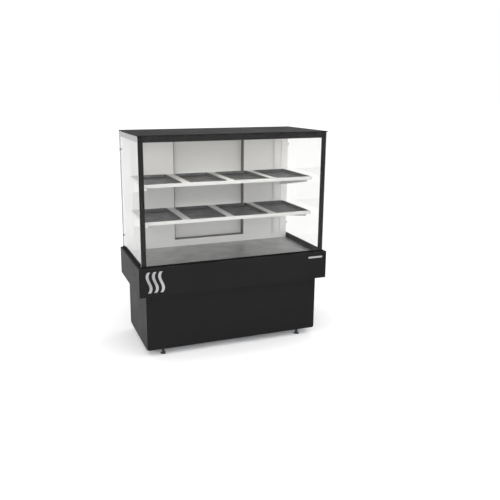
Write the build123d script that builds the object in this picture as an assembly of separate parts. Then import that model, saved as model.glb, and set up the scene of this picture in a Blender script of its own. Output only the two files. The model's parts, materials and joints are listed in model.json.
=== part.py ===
from build123d import *
import math
import os

# Hot food display case: a plinth cabinet on four levelling feet, a wider fascia box
# that holds the heated deck, and a glass showcase above it with two hanging shelves
# of lift-out trays and one hinged service door in the rear wall.
# Millimetres, +Z up, front towards -Y, left towards -X, floor at Z = 0.

# ---- overall sizes -------------------------------------------------------------------
WIDTH = 1250.0
DEPTH = 580.0
HEIGHT = 1369.0
FOOT_HEIGHT = 45.0
FASCIA_BOTTOM = 410.0
LEDGE_TOP = 588.0

# ---- sheet thicknesses and general clearances ----------------------------------------
SHEET = 2.0
THIN_SHEET = 1.2
BODY_GAP = 0.3
RUN_GAP = 0.05
HOLE_GAP = 0.5

# ---- plinth cabinet ------------------------------------------------------------------
PLINTH_SIDE_INSET = 49.0
PLINTH_FRONT_INSET = 50.0
PLINTH_REAR_INSET = 16.0
PLINTH_CORNER = 15.0
PAN_FLANGE = 25.0
POST_SIZE = 30.0
LOUVRE_COLUMNS = 3
LOUVRE_ROWS = 9
LOUVRE_LENGTH = 150.0
LOUVRE_WIDTH = 5.0
LOUVRE_PITCH = 14.0
LOUVRE_COLUMN_PITCH = 230.0
LOUVRE_MIDDLE_Z = 200.0

# ---- levelling feet ------------------------------------------------------------------
FOOT_SIDE_INSET = 108.0
FOOT_END_INSET = 40.0
FOOT_PAD_RADIUS = 18.0
FOOT_PAD_RIM = 4.0
FOOT_CONE = 9.0
FOOT_NECK_RADIUS = 9.0
FOOT_HEX_RADIUS = 11.0
FOOT_HEX_HEIGHT = 8.0
STUD_RADIUS = 5.0
STUD_ABOVE_PAN = 28.0
NUT_RADIUS = 12.0
NUT_HEIGHT = 18.0

# ---- ledge and heated deck -----------------------------------------------------------
LEDGE_SIDE = 20.0
LEDGE_FRONT = 20.0
LEDGE_INSIDE = 7.0
LEDGE_FRONT_INSIDE = 16.0
LEDGE_LIP = 28.0
DECK_DROP = 22.0
DECK_SHEET = 1.5
DECK_GAP = 1.0
DECK_SLOT_WIDTH = 5.0
DECK_SLOT_LENGTH = 300.0
DECK_SLOT_INSET = 36.0
PAN_DEPTH = 64.0
SLAB_THICKNESS = 30.0
BEARER_WIDTH = 40.0
BEARER_PITCH = 400.0
LEG_WIDTH = 28.0
ELEMENT_RADIUS = 4.0
ELEMENT_HEIGHT = 30.0
ELEMENT_END_INSET = 60.0
ELEMENT_RETURN = 130.0
ELEMENT_BEND = 40.0
ELEMENT_PITCH = 240.0
ELEMENT_STRIP = 3.0
ELEMENT_STRIP_PITCH = 420.0

# ---- glass ---------------------------------------------------------------------------
GLASS = 6.0
GASKET_BASE = 2.0
GASKET_WALL = 4.0
GASKET_HEIGHT = 8.0
EDGE_TRIM = 1.0
EDGE_TRIM_DEPTH = 8.0
BORDER_WIDTH = 32.0
BORDER_SKIN = 1.0
BOLT_HEAD_RADIUS = 6.0
BOLT_HEAD = 4.0
BOLT_RADIUS = 3.0
BOLT_COLLAR_RADIUS = 7.0
BOLT_FROM_BACK = 16.0
BOLT_HEIGHTS = (672.0, 1245.0)

# ---- roof ----------------------------------------------------------------------------
ROOF_SHEET = 1.5
ROOF_HEM = 4.5
ROOF_SIDE_OVERHANG = 2.0
ROOF_FRONT_OVERHANG = 8.5
RAIL_HEIGHT = 40.5
RAIL_WIDTH = 25.0
RAIL_WALL = 1.5
RAIL_GAP = 1.0
LIGHT_WIDTH = 40.0
LIGHT_HEIGHT = 24.0
LIGHT_HALF_LENGTH = 540.0
LIGHT_BEHIND_RAIL = 8.0
LENS = 3.0

# ---- rear wall and its opening -------------------------------------------------------
WALL = 35.0
WALL_SIDE_GAP = 6.0
OPENING_HALF = 251.0
OPENING_BOTTOM = 616.0
OPENING_TOP = 1290.0
WALL_BOTTOM = 540.0

# ---- service door --------------------------------------------------------------------
DOOR_OVERLAP = 13.0
DOOR_THICKNESS = 22.0
DOOR_STANDOFF = 8.0
SEAL_WIDTH = 11.0
SEAL_EDGE = 2.0
HANDLE_LENGTH = 180.0
HANDLE_RADIUS = 7.0
HANDLE_POST_RADIUS = 6.0
HANDLE_REACH = 32.0
HANDLE_FROM_EDGE = 34.0
HANDLE_POST_INSET = 22.0
HINGE_OUT = 10.0
HINGE_BARREL = 7.0
HINGE_PIN = 4.0
KNUCKLE = 22.0
KNUCKLE_GAP = 0.4
HINGE_PLATE = 3.0
HINGE_PLATE_WIDTH = 26.0
HINGE_HEIGHTS = (700.0, 1195.0)

# ---- shelves, brackets and trays -----------------------------------------------------
SHELF_TOPS = (844.0, 1072.0)
SHELF_FRONT = 105.0
SHELF_DEPTH = 420.0
SHELF_LIP = 20.0
SHELF_SHEET = 1.5
SHELF_FRONT_RETURN = 14.0
TRAYS_PER_SHELF = 4
DIVIDER_WIDTH = 50.0
TRAY_WIDTH = 236.0
TRAY_SIDE_GAP = 1.0
TRAY_END_GAP = 5.5
TRAY_SHEET = 1.2
TRAY_PROUD = 2.0
TRAY_CORNER = 14.0
TRAY_RIM = 4.0
TRAY_FRONT_GAP = 2.0
TRAY_REAR_GAP = 3.0
UPRIGHT_WIDTH = 64.0
UPRIGHT_DEPTH = 10.0
UPRIGHT_FROM_SHELF_END = 47.0
UPRIGHT_BOTTOM = 600.0
UPRIGHT_TOP = 1300.0
SLOT_WIDTH = 5.0
SLOT_HEIGHT = 14.0
SLOT_PITCH = 25.0
SLOT_ROW_OUT = 25.0
BRACKET_SHEET = 3.0
BRACKET_REAR = 92.0
BRACKET_TIP = 16.0
BRACKET_FRONT_GAP = 22.0
HOOK_HEIGHT = 10.0

# ---- controls on the rear fascia -----------------------------------------------------
CONTROL_X = 410.0
CONTROL_Z = 500.0
CONTROL_WIDTH = 230.0
CONTROL_HEIGHT = 84.0
CONTROL_SHEET = 3.0
CONTROL_CORNER = 9.0
KNOB_X = 350.0
KNOB_RADIUS = 20.0
KNOB_HEIGHT = 18.0
KNOB_CHAMFER = 2.0
KNOB_SHAFT = 3.0
KNOB_SHAFT_LENGTH = 14.0
POINTER_WIDTH = 5.0
POINTER_PROUD = 3.0
POINTER_LENGTH = 31.0
POINTER_LIFT = 1.5
BUSH_RADIUS = 5.0
BUSH_PROUD = 4.0
THERMOSTAT_SIZE = 40.0
THERMOSTAT_DEPTH = 26.0
SWITCH_XS = (408.0, 446.0)
SWITCH_FLANGE = (24.0, 34.0)
SWITCH_BODY = (19.6, 28.0)
SWITCH_PLATE = 2.0
SWITCH_DEPTH = 20.0
SWITCH_POCKET = (15.6, 24.0)
SWITCH_POCKET_DEPTH = 14.0
ROCKER_HALF_HEIGHT = 10.5
ROCKER_FACE = 3.2
ROCKER_DISH = 1.2
ROCKER_ROOT = 4.0
ROCKER_TILT = 8.0
TRUNNION = 1.5
GAUGE_X = 494.0
GAUGE_BEZEL = 21.0
GAUGE_BODY = 18.0
GAUGE_PROUD = 5.0
GAUGE_BODY_DEPTH = 14.0
GLAND_X = -470.0
GLAND_Z = 452.0
GLAND_BORE = 4.5
GLAND_BODY = 9.0
GLAND_HEX = 12.0
GLAND_HEX_HEIGHT = 6.0
GLAND_DOME = 14.0
GLAND_TAIL = 10.0
GLAND_CHAMFER = 2.0

# ---- badges and screws ---------------------------------------------------------------
BADGE_THICKNESS = 3.0
BADGE_X = -528.0
BADGE_Z = 502.0
STRIP_WIDTH = 18.0
STRIP_HEIGHT = 130.0
STRIP_PITCH = 38.0
STRIP_SWAY = 11.0
NAMEPLATE_X = 544.0
NAMEPLATE_Z = 556.0
NAMEPLATE_WIDTH = 100.0
NAMEPLATE_HEIGHT = 12.0
SCREW_HEAD = 4.5
SCREW_HEAD_HEIGHT = 1.6
SCREW_RADIUS = 2.0
SCREW_LENGTH = 8.0
FASCIA_SCREW_FROM_FRONT = 115.0
FASCIA_SCREW_Z = 523.0
PANEL_SCREW_INSET = 30.0

# ---- places worked out from the sizes above ------------------------------------------
HALF = WIDTH / 2
REAR_REACH = DOOR_STANDOFF + DOOR_THICKNESS + HANDLE_REACH - SHEET
Y_FRONT = BADGE_THICKNESS - (BADGE_THICKNESS + DEPTH + REAR_REACH) / 2
Y_REAR = Y_FRONT + DEPTH
PLINTH_HALF = HALF - PLINTH_SIDE_INSET
PLINTH_FRONT = Y_FRONT + PLINTH_FRONT_INSET
PLINTH_REAR = Y_REAR - PLINTH_REAR_INSET
PAN_TOP = FOOT_HEIGHT + SHEET
FOOT_X = PLINTH_HALF - FOOT_SIDE_INSET
FOOT_YS = (PLINTH_FRONT + FOOT_END_INSET, PLINTH_REAR - FOOT_END_INSET)

GLASS_OUT = HALF - LEDGE_SIDE
GLASS_IN = GLASS_OUT - GLASS
GLASS_FRONT = Y_FRONT + LEDGE_FRONT
WELL_HALF = GLASS_IN - LEDGE_INSIDE
WELL_FRONT = GLASS_FRONT + GLASS + LEDGE_FRONT_INSIDE
GLASS_BOTTOM = LEDGE_TOP + GASKET_BASE
ROOF_UNDER = HEIGHT - ROOF_SHEET
GLASS_TOP = ROOF_UNDER - HOLE_GAP
SIDE_GLASS_FRONT = GLASS_FRONT + GLASS + GASKET_WALL

WALL_OUT = Y_REAR - SHEET
WALL_IN = WALL_OUT - WALL
WALL_HALF = GLASS_IN - WALL_SIDE_GAP
RAIL_BOTTOM = ROOF_UNDER - RAIL_HEIGHT
DECK_TOP = LEDGE_TOP - DECK_DROP
DECK_UNDER = DECK_TOP - DECK_SHEET
DECK_HALF = WELL_HALF - DECK_GAP
PAN_HALF = WELL_HALF - SHEET - 2 * DECK_GAP
PAN_FRONT = WELL_FRONT + SHEET + DECK_GAP
PAN_BACK = WALL_IN - 4 * DECK_GAP
PAN_FLOOR = DECK_UNDER - PAN_DEPTH
SLAB_BOTTOM = PAN_FLOOR - SLAB_THICKNESS
FLOOR_TOP = FASCIA_BOTTOM + SHEET

DOOR_HALF = OPENING_HALF + DOOR_OVERLAP
DOOR_BOTTOM = OPENING_BOTTOM - DOOR_OVERLAP
DOOR_TOP = OPENING_TOP + DOOR_OVERLAP
DOOR_IN = WALL_OUT + DOOR_STANDOFF
DOOR_OUT = DOOR_IN + DOOR_THICKNESS
HINGE_X = -(DOOR_HALF + HINGE_OUT)
HINGE_Y = (DOOR_IN + DOOR_OUT) / 2
HANDLE_X = DOOR_HALF - HANDLE_FROM_EDGE
HANDLE_Z = (DOOR_BOTTOM + DOOR_TOP) / 2

TRAY_PITCH = TRAY_WIDTH + 2 * TRAY_SIDE_GAP + DIVIDER_WIDTH
SHELF_HALF = (TRAYS_PER_SHELF - 1) / 2 * TRAY_PITCH + TRAY_WIDTH / 2 + TRAY_END_GAP + SHELF_SHEET
SHELF_Y0 = Y_FRONT + SHELF_FRONT
SHELF_Y1 = SHELF_Y0 + SHELF_DEPTH
UPRIGHT_FACE = WALL_IN - UPRIGHT_DEPTH
UPRIGHT_MIDDLE = SHELF_HALF - UPRIGHT_FROM_SHELF_END
BRACKET_X = UPRIGHT_MIDDLE + SLOT_ROW_OUT
PANEL_FACE = Y_REAR + CONTROL_SHEET


def block(x0, x1, y0, y1, z0, z1):
    """A box between two corners."""
    middle = Pos((x0 + x1) / 2, (y0 + y1) / 2, (z0 + z1) / 2)
    return middle * Box(x1 - x0, y1 - y0, z1 - z0)


def rod_x(radius, x0, x1, y, z):
    """A cylinder along X."""
    return Pos((x0 + x1) / 2, y, z) * Rot(0, 90, 0) * Cylinder(radius, x1 - x0)


def rod_y(radius, x, y0, y1, z):
    """A cylinder along Y."""
    return Pos(x, (y0 + y1) / 2, z) * Rot(90, 0, 0) * Cylinder(radius, y1 - y0)


def rod_z(radius, x, y, z0, z1):
    """A cylinder along Z."""
    return Pos(x, y, (z0 + z1) / 2) * Cylinder(radius, z1 - z0)


def hex_z(radius, x, y, z0, z1):
    """A hexagonal prism along Z."""
    return Pos(x, y, z0) * extrude(RegularPolygon(radius, 6), z1 - z0)


def hex_y(radius, x, y0, y1, z):
    """A hexagonal prism along Y."""
    return Pos(x, y1, z) * Rot(90, 0, 0) * extrude(RegularPolygon(radius, 6), y1 - y0)


def open_box(x0, x1, y0, y1, z0, z1, wall, mouth):
    """A five-sided sheet box: mouth is "+z" for an open top or "+y" for an open back."""
    top = z1 + wall if mouth == "+z" else z1 - wall
    back = y1 + wall if mouth == "+y" else y1 - wall
    inside = block(x0 + wall, x1 - wall, y0 + wall, back, z0 + wall, top)
    return block(x0, x1, y0, y1, z0, z1) - inside


def group(pieces):
    """Separate solids kept together in one node."""
    return Compound(children=[piece.solid() for piece in pieces])


# ---- plinth cabinet ------------------------------------------------------------------
def base_floor_pan():
    half = PLINTH_HALF - SHEET
    pan = open_box(-half, half, PLINTH_FRONT + SHEET, PLINTH_REAR - SHEET,
                   FOOT_HEIGHT, PAN_TOP + PAN_FLANGE, SHEET, "+z")
    for x in (-FOOT_X, FOOT_X):
        for y in FOOT_YS:
            pan = pan + rod_z(NUT_RADIUS, x, y, PAN_TOP, PAN_TOP + NUT_HEIGHT)
            pan = pan - rod_z(STUD_RADIUS + RUN_GAP, x, y, FOOT_HEIGHT, PAN_TOP + NUT_HEIGHT)
    return pan


def corner_posts():
    posts = []
    x_in = PLINTH_HALF - 2 * SHEET - POST_SIZE
    front = PLINTH_FRONT + 2 * SHEET
    back = PLINTH_REAR - 2 * SHEET - POST_SIZE
    for x in (-x_in - POST_SIZE, x_in):
        for y in (front, back):
            tube = block(x, x + POST_SIZE, y, y + POST_SIZE, PAN_TOP, FASCIA_BOTTOM)
            bore = block(x + SHEET, x + POST_SIZE - SHEET, y + SHEET, y + POST_SIZE - SHEET,
                         PAN_TOP, FASCIA_BOTTOM)
            posts.append(tube - bore)
    return group(posts)


def rounded_foot_panel(width, height, thickness):
    """An upright panel in the XZ plane, its two bottom corners rounded."""
    plate = Box(width, thickness, height)
    low = plate.edges().filter_by(Axis.Y).sort_by(Axis.Z)[:2]
    return fillet(low, PLINTH_CORNER)


def plinth_middle_z():
    return (FOOT_HEIGHT + FASCIA_BOTTOM) / 2


def plinth_front_panel():
    plate = rounded_foot_panel(2 * PLINTH_HALF, FASCIA_BOTTOM - FOOT_HEIGHT, SHEET)
    return Pos(0, PLINTH_FRONT + SHEET / 2, plinth_middle_z()) * plate


def plinth_side_panels():
    length = PLINTH_REAR - PLINTH_FRONT - 2 * SHEET
    middle_y = (PLINTH_FRONT + PLINTH_REAR) / 2
    panels = []
    for x in (-PLINTH_HALF + SHEET / 2, PLINTH_HALF - SHEET / 2):
        plate = rounded_foot_panel(length, FASCIA_BOTTOM - FOOT_HEIGHT, SHEET)
        panels.append(Pos(x, middle_y, plinth_middle_z()) * Rot(0, 0, 90) * plate)
    return group(panels)


def rear_screw_points():
    """Screw places round the rear plinth panel."""
    x_out = PLINTH_HALF - PANEL_SCREW_INSET
    z_low = FOOT_HEIGHT + PANEL_SCREW_INSET
    z_high = FASCIA_BOTTOM - PANEL_SCREW_INSET
    return [(x, z) for x in (-x_out, 0, x_out) for z in (z_low, z_high)]


def plinth_rear_panel():
    plate = rounded_foot_panel(2 * PLINTH_HALF, FASCIA_BOTTOM - FOOT_HEIGHT, SHEET)
    panel = Pos(0, PLINTH_REAR - SHEET / 2, plinth_middle_z()) * plate
    cut = Box(LOUVRE_LENGTH, 4 * SHEET, LOUVRE_WIDTH)
    for column in range(LOUVRE_COLUMNS):
        x = (column - (LOUVRE_COLUMNS - 1) / 2) * LOUVRE_COLUMN_PITCH
        for row in range(LOUVRE_ROWS):
            z = LOUVRE_MIDDLE_Z + (row - (LOUVRE_ROWS - 1) / 2) * LOUVRE_PITCH
            panel = panel - Pos(x, PLINTH_REAR - SHEET / 2, z) * cut
    for x, z in rear_screw_points():
        panel = panel - rod_y(SCREW_RADIUS, x, PLINTH_REAR - 2 * SHEET, PLINTH_REAR + SHEET, z)
    return panel


def levelling_foot(x, y):
    rim = rod_z(FOOT_PAD_RADIUS, x, y, 0, FOOT_PAD_RIM)
    cone = Pos(x, y, FOOT_PAD_RIM + FOOT_CONE / 2) * Cone(FOOT_PAD_RADIUS, FOOT_NECK_RADIUS, FOOT_CONE)
    neck = rod_z(FOOT_NECK_RADIUS, x, y, FOOT_PAD_RIM + FOOT_CONE, FOOT_HEIGHT - FOOT_HEX_HEIGHT - BODY_GAP)
    nut = hex_z(FOOT_HEX_RADIUS, x, y, FOOT_HEIGHT - FOOT_HEX_HEIGHT - BODY_GAP, FOOT_HEIGHT - BODY_GAP)
    stud = rod_z(STUD_RADIUS, x, y, FOOT_HEIGHT - BODY_GAP, PAN_TOP + STUD_ABOVE_PAN)
    return rim + cone + neck + nut + stud


# ---- fascia box ----------------------------------------------------------------------
def fascia_floor():
    half = HALF - SHEET
    return block(-half, half, Y_FRONT + SHEET, Y_REAR - SHEET, FASCIA_BOTTOM, FLOOR_TOP)


def front_fascia():
    return block(-HALF, HALF, Y_FRONT, Y_FRONT + SHEET, FASCIA_BOTTOM, LEDGE_TOP - SHEET)


def side_fascias():
    plates = []
    screw_y = Y_FRONT + FASCIA_SCREW_FROM_FRONT
    for x in (-HALF, HALF - SHEET):
        plate = block(x, x + SHEET, Y_FRONT + SHEET, WALL_OUT, FASCIA_BOTTOM, LEDGE_TOP - SHEET)
        plates.append(plate - rod_x(SCREW_RADIUS, x - SHEET, x + 2 * SHEET, screw_y, FASCIA_SCREW_Z))
    return group(plates)


def control_cutouts(y0, y1):
    """Everything that passes through the rear fascia and its control panel."""
    cuts = [rod_y(BUSH_RADIUS, KNOB_X, y0, y1, CONTROL_Z)]
    for x in SWITCH_XS:
        width, height = SWITCH_BODY
        cuts.append(block(x - width / 2, x + width / 2, y0, y1,
                          CONTROL_Z - height / 2, CONTROL_Z + height / 2))
    cuts.append(rod_y(GAUGE_BODY, GAUGE_X, y0, y1, CONTROL_Z))
    return cuts


def rear_fascia():
    plate = block(-HALF, HALF, Y_REAR - SHEET, Y_REAR, FASCIA_BOTTOM, LEDGE_TOP)
    for cut in control_cutouts(Y_REAR - 2 * SHEET, Y_REAR + SHEET):
        plate = plate - cut
    return plate - rod_y(GLAND_BODY, GLAND_X, Y_REAR - 2 * SHEET, Y_REAR + SHEET, GLAND_Z)


def ledge_frame():
    under = LEDGE_TOP - SHEET
    front = block(-HALF, HALF, Y_FRONT, WELL_FRONT, under, LEDGE_TOP)
    front_lip = block(-WELL_HALF, WELL_HALF, WELL_FRONT - SHEET, WELL_FRONT, LEDGE_TOP - LEDGE_LIP, LEDGE_TOP)
    pieces = [front + front_lip]
    top = block(WELL_HALF, HALF, WELL_FRONT, WALL_IN, under, LEDGE_TOP)
    top = top + block(max(WALL_HALF, WELL_HALF), HALF, WALL_IN, WALL_OUT, under, LEDGE_TOP)
    lip = block(WELL_HALF, WELL_HALF + SHEET, WELL_FRONT, WALL_IN, LEDGE_TOP - LEDGE_LIP, LEDGE_TOP)
    right = top + lip
    pieces.append(right)
    pieces.append(mirror(right, Plane.YZ))
    return group(pieces)


# ---- heated deck ---------------------------------------------------------------------
def deck_bearers():
    pieces = []
    for index in (-1, 0, 1):
        x0 = index * BEARER_PITCH - BEARER_WIDTH / 2
        x1 = x0 + BEARER_WIDTH
        tube = block(x0, x1, PAN_FRONT, PAN_BACK, FLOOR_TOP, SLAB_BOTTOM)
        bore = block(x0 + SHEET, x1 - SHEET, PAN_FRONT, PAN_BACK, FLOOR_TOP + SHEET, SLAB_BOTTOM - SHEET)
        pieces.append(tube - bore)
    for x0 in (-WALL_HALF, -OPENING_HALF - LEG_WIDTH, OPENING_HALF, WALL_HALF - LEG_WIDTH):
        leg = block(x0, x0 + LEG_WIDTH, WALL_IN, WALL_OUT, FLOOR_TOP, WALL_BOTTOM)
        bore = block(x0 + SHEET, x0 + LEG_WIDTH - SHEET, WALL_IN + SHEET, WALL_OUT - SHEET,
                     FLOOR_TOP, WALL_BOTTOM)
        pieces.append(leg - bore)
    return group(pieces)


def element_pan():
    pan = open_box(-PAN_HALF, PAN_HALF, PAN_FRONT, PAN_BACK, PAN_FLOOR, DECK_UNDER, THIN_SHEET, "+z")
    rest = PAN_FLOOR + ELEMENT_HEIGHT - ELEMENT_RADIUS
    for index in (-1, 0, 1):
        x = index * ELEMENT_STRIP_PITCH
        pan = pan + block(x - ELEMENT_STRIP / 2, x + ELEMENT_STRIP / 2, PAN_FRONT + THIN_SHEET,
                          PAN_BACK - THIN_SHEET, PAN_FLOOR + THIN_SHEET, rest)
    return pan


def heating_element(middle_y):
    """One hairpin of tubular heater, lying flat."""
    left = -PAN_HALF + ELEMENT_END_INSET
    right = PAN_HALF - ELEMENT_END_INSET
    z = PAN_FLOOR + ELEMENT_HEIGHT
    y0 = middle_y - ELEMENT_RETURN / 2
    y1 = middle_y + ELEMENT_RETURN / 2
    corners = [(left, y0, z), (right, y0, z), (right, y1, z), (left, y1, z)]
    path = FilletPolyline(*corners, radius=ELEMENT_BEND)
    start = Plane(origin=path @ 0, z_dir=path % 0)
    return sweep(start * Circle(ELEMENT_RADIUS), path=path)


def heating_elements():
    middle = (PAN_FRONT + PAN_BACK) / 2
    return group([heating_element(middle - ELEMENT_PITCH / 2), heating_element(middle + ELEMENT_PITCH / 2)])


def insulation_blocks():
    pieces = [block(-PAN_HALF, PAN_HALF, PAN_FRONT, PAN_BACK, SLAB_BOTTOM, PAN_FLOOR)]
    for side in (-1, 1):
        x0, x1 = sorted((side * (OPENING_HALF + THIN_SHEET), side * (WALL_HALF - THIN_SHEET)))
        pieces.append(block(x0, x1, WALL_IN + THIN_SHEET, WALL_OUT - THIN_SHEET,
                            WALL_BOTTOM + THIN_SHEET, ROOF_UNDER - RAIL_HEIGHT - THIN_SHEET))
    return group(pieces)


def deck_plate():
    plate = block(-DECK_HALF, DECK_HALF, WELL_FRONT + DECK_GAP, WALL_IN - DECK_GAP, DECK_UNDER, DECK_TOP)
    middle_y = (WELL_FRONT + WALL_IN) / 2
    for x in (-DECK_HALF + DECK_SLOT_INSET, DECK_HALF - DECK_SLOT_INSET):
        slot = extrude(SlotOverall(DECK_SLOT_LENGTH, DECK_SLOT_WIDTH, rotation=90), DECK_SHEET)
        plate = plate - Pos(x, middle_y, DECK_UNDER) * slot
    return plate


# ---- glass box -----------------------------------------------------------------------
def front_glass():
    return block(-GLASS_OUT, GLASS_OUT, GLASS_FRONT, GLASS_FRONT + GLASS, GLASS_BOTTOM, GLASS_TOP)


def glass_bolt_points():
    return [(side, z) for side in (-1, 1) for z in BOLT_HEIGHTS]


def side_glasses():
    panes = []
    for side in (-1, 1):
        x0, x1 = sorted((side * GLASS_IN, side * GLASS_OUT))
        pane = block(x0, x1, SIDE_GLASS_FRONT, Y_REAR, GLASS_BOTTOM, GLASS_TOP)
        for z in BOLT_HEIGHTS:
            hole = rod_x(BOLT_RADIUS + HOLE_GAP, x0 - GLASS, x1 + GLASS, Y_REAR - BOLT_FROM_BACK, z)
            pane = pane - hole
        panes.append(pane)
    return group(panes)


def glass_gaskets():
    """Rubber channels that the three panes stand in, and the trims on the side panes' rear edges."""
    top = LEDGE_TOP + GASKET_HEIGHT
    out = GLASS_OUT + GASKET_WALL
    inner = GLASS_IN - GASKET_WALL
    front = block(-out, out, GLASS_FRONT - GASKET_WALL, SIDE_GLASS_FRONT, LEDGE_TOP, top)
    front = front - block(-GLASS_OUT, GLASS_OUT, GLASS_FRONT, GLASS_FRONT + GLASS, GLASS_BOTTOM, top)
    pieces = [front]
    for side in (-1, 1):
        x0, x1 = sorted((side * inner, side * out))
        channel = block(x0, x1, SIDE_GLASS_FRONT, Y_REAR, LEDGE_TOP, top)
        x0, x1 = sorted((side * GLASS_IN, side * GLASS_OUT))
        pieces.append(channel - block(x0, x1, SIDE_GLASS_FRONT, Y_REAR, GLASS_BOTTOM, top))
        trim_top = ROOF_UNDER - ROOF_HEM - BODY_GAP
        trim = block(x0 - EDGE_TRIM, x1 + EDGE_TRIM, Y_REAR - EDGE_TRIM_DEPTH, Y_REAR + EDGE_TRIM, top, trim_top)
        pieces.append(trim - block(x0, x1, Y_REAR - EDGE_TRIM_DEPTH, Y_REAR, top, trim_top))
    return group(pieces)


def front_glass_border():
    """Opaque bands bonded inside the two upright edges of the front pane."""
    back = GLASS_FRONT + GLASS
    bottom = LEDGE_TOP + GASKET_HEIGHT
    bands = []
    for side in (-1, 1):
        x0, x1 = sorted((side * (GLASS_OUT - BORDER_WIDTH), side * GLASS_OUT))
        bands.append(block(x0, x1, back, back + BORDER_SKIN, bottom, GLASS_TOP))
    return group(bands)


def glass_bolts():
    """Button-headed bolts and their collars, which hold each side pane to the rear wall."""
    pieces = []
    y = Y_REAR - BOLT_FROM_BACK
    for side, z in glass_bolt_points():
        x0, x1 = sorted((side * GLASS_OUT, side * (GLASS_OUT + BOLT_HEAD)))
        head = rod_x(BOLT_HEAD_RADIUS, x0, x1, y, z)
        x0, x1 = sorted((side * WALL_HALF, side * GLASS_OUT))
        pieces.append(head + rod_x(BOLT_RADIUS, x0, x1, y, z))
        x0, x1 = sorted((side * WALL_HALF, side * GLASS_IN))
        pieces.append(rod_x(BOLT_COLLAR_RADIUS, x0, x1, y, z) - rod_x(BOLT_RADIUS, x0, x1, y, z))
    return group(pieces)


# ---- roof ----------------------------------------------------------------------------
def roof_panel():
    out = GLASS_OUT + ROOF_SIDE_OVERHANG
    front = GLASS_FRONT - ROOF_FRONT_OVERHANG
    sheet = block(-out, out, front, Y_REAR + ROOF_SHEET, HEIGHT - ROOF_SHEET - ROOF_HEM, HEIGHT)
    inside = block(-out + ROOF_SHEET, out - ROOF_SHEET, front + ROOF_SHEET, Y_REAR,
                   HEIGHT - ROOF_SHEET - ROOF_HEM, ROOF_UNDER)
    return sheet - inside


def rail(x0, x1, y0, y1, along):
    """A rectangular tube under the roof, open at its two ends."""
    outside = block(x0, x1, y0, y1, RAIL_BOTTOM, ROOF_UNDER)
    dx = 0 if along == "x" else RAIL_WALL
    dy = 0 if along == "y" else RAIL_WALL
    return outside - block(x0 + dx, x1 - dx, y0 + dy, y1 - dy, RAIL_BOTTOM + RAIL_WALL, ROOF_UNDER - RAIL_WALL)


def roof_frame():
    half = GLASS_IN - RAIL_GAP
    front = SIDE_GLASS_FRONT
    pieces = [rail(-half, half, front, front + RAIL_WIDTH, "x"), rail(-half, half, WALL_IN, WALL_OUT, "x")]
    for x0 in (-half, half - RAIL_WIDTH):
        pieces.append(rail(x0, x0 + RAIL_WIDTH, front + RAIL_WIDTH, WALL_IN, "y"))
    return group(pieces)


def light_front():
    return SIDE_GLASS_FRONT + RAIL_WIDTH + LIGHT_BEHIND_RAIL


def light_housing():
    y0 = light_front()
    bottom = ROOF_UNDER - LIGHT_HEIGHT
    shell = block(-LIGHT_HALF_LENGTH, LIGHT_HALF_LENGTH, y0, y0 + LIGHT_WIDTH, bottom, ROOF_UNDER)
    inside = block(-LIGHT_HALF_LENGTH + RAIL_WALL, LIGHT_HALF_LENGTH - RAIL_WALL, y0 + RAIL_WALL,
                   y0 + LIGHT_WIDTH - RAIL_WALL, bottom, ROOF_UNDER - RAIL_WALL)
    return shell - inside


def light_diffuser():
    y0 = light_front() + RAIL_WALL
    y1 = y0 + LIGHT_WIDTH - 2 * RAIL_WALL
    half = LIGHT_HALF_LENGTH - RAIL_WALL
    bottom = ROOF_UNDER - LIGHT_HEIGHT
    return block(-half, half, y0, y1, bottom, bottom + LENS)


# ---- rear wall -----------------------------------------------------------------------
def rear_wall_panels():
    pieces = []
    for side in (-1, 1):
        x0, x1 = sorted((side * OPENING_HALF, side * WALL_HALF))
        pieces.append(open_box(x0, x1, WALL_IN, WALL_OUT - THIN_SHEET, WALL_BOTTOM, RAIL_BOTTOM,
                               THIN_SHEET, "+y"))
    return group(pieces)


def rear_wall_covers():
    pieces = []
    for side in (-1, 1):
        x0, x1 = sorted((side * OPENING_HALF, side * WALL_HALF))
        pieces.append(block(x0, x1, WALL_OUT - THIN_SHEET, WALL_OUT, WALL_BOTTOM, RAIL_BOTTOM))
    return group(pieces)


def rear_cross_members():
    """The sill and the header of the opening, two tubes between the wall panels."""
    pieces = []
    for bottom, top in ((WALL_BOTTOM, OPENING_BOTTOM), (OPENING_TOP, RAIL_BOTTOM)):
        tube = block(-OPENING_HALF, OPENING_HALF, WALL_IN, WALL_OUT, bottom, top)
        bore = block(-OPENING_HALF, OPENING_HALF, WALL_IN + RAIL_WALL, WALL_OUT - RAIL_WALL,
                     bottom + RAIL_WALL, top - RAIL_WALL)
        pieces.append(tube - bore)
    return group(pieces)


# ---- shelves -------------------------------------------------------------------------
def upright(middle_x):
    """A slotted channel, its back open towards the wall."""
    x0 = middle_x - UPRIGHT_WIDTH / 2
    x1 = middle_x + UPRIGHT_WIDTH / 2
    channel = block(x0, x1, UPRIGHT_FACE, WALL_IN, UPRIGHT_BOTTOM, UPRIGHT_TOP)
    channel = channel - block(x0 + SHELF_SHEET, x1 - SHELF_SHEET, UPRIGHT_FACE + SHELF_SHEET, WALL_IN,
                              UPRIGHT_BOTTOM, UPRIGHT_TOP)
    count = int((UPRIGHT_TOP - UPRIGHT_BOTTOM) / SLOT_PITCH) - 1
    slot = Box(SLOT_WIDTH, 4 * SHELF_SHEET, SLOT_HEIGHT)
    cuts = []
    for row_x in (middle_x - SLOT_ROW_OUT, middle_x + SLOT_ROW_OUT):
        for index in range(count):
            z = slot_base() + (index - count) * SLOT_PITCH
            cuts.append(Pos(row_x, UPRIGHT_FACE + SHELF_SHEET / 2, z) * slot)
    return channel - cuts


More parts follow.
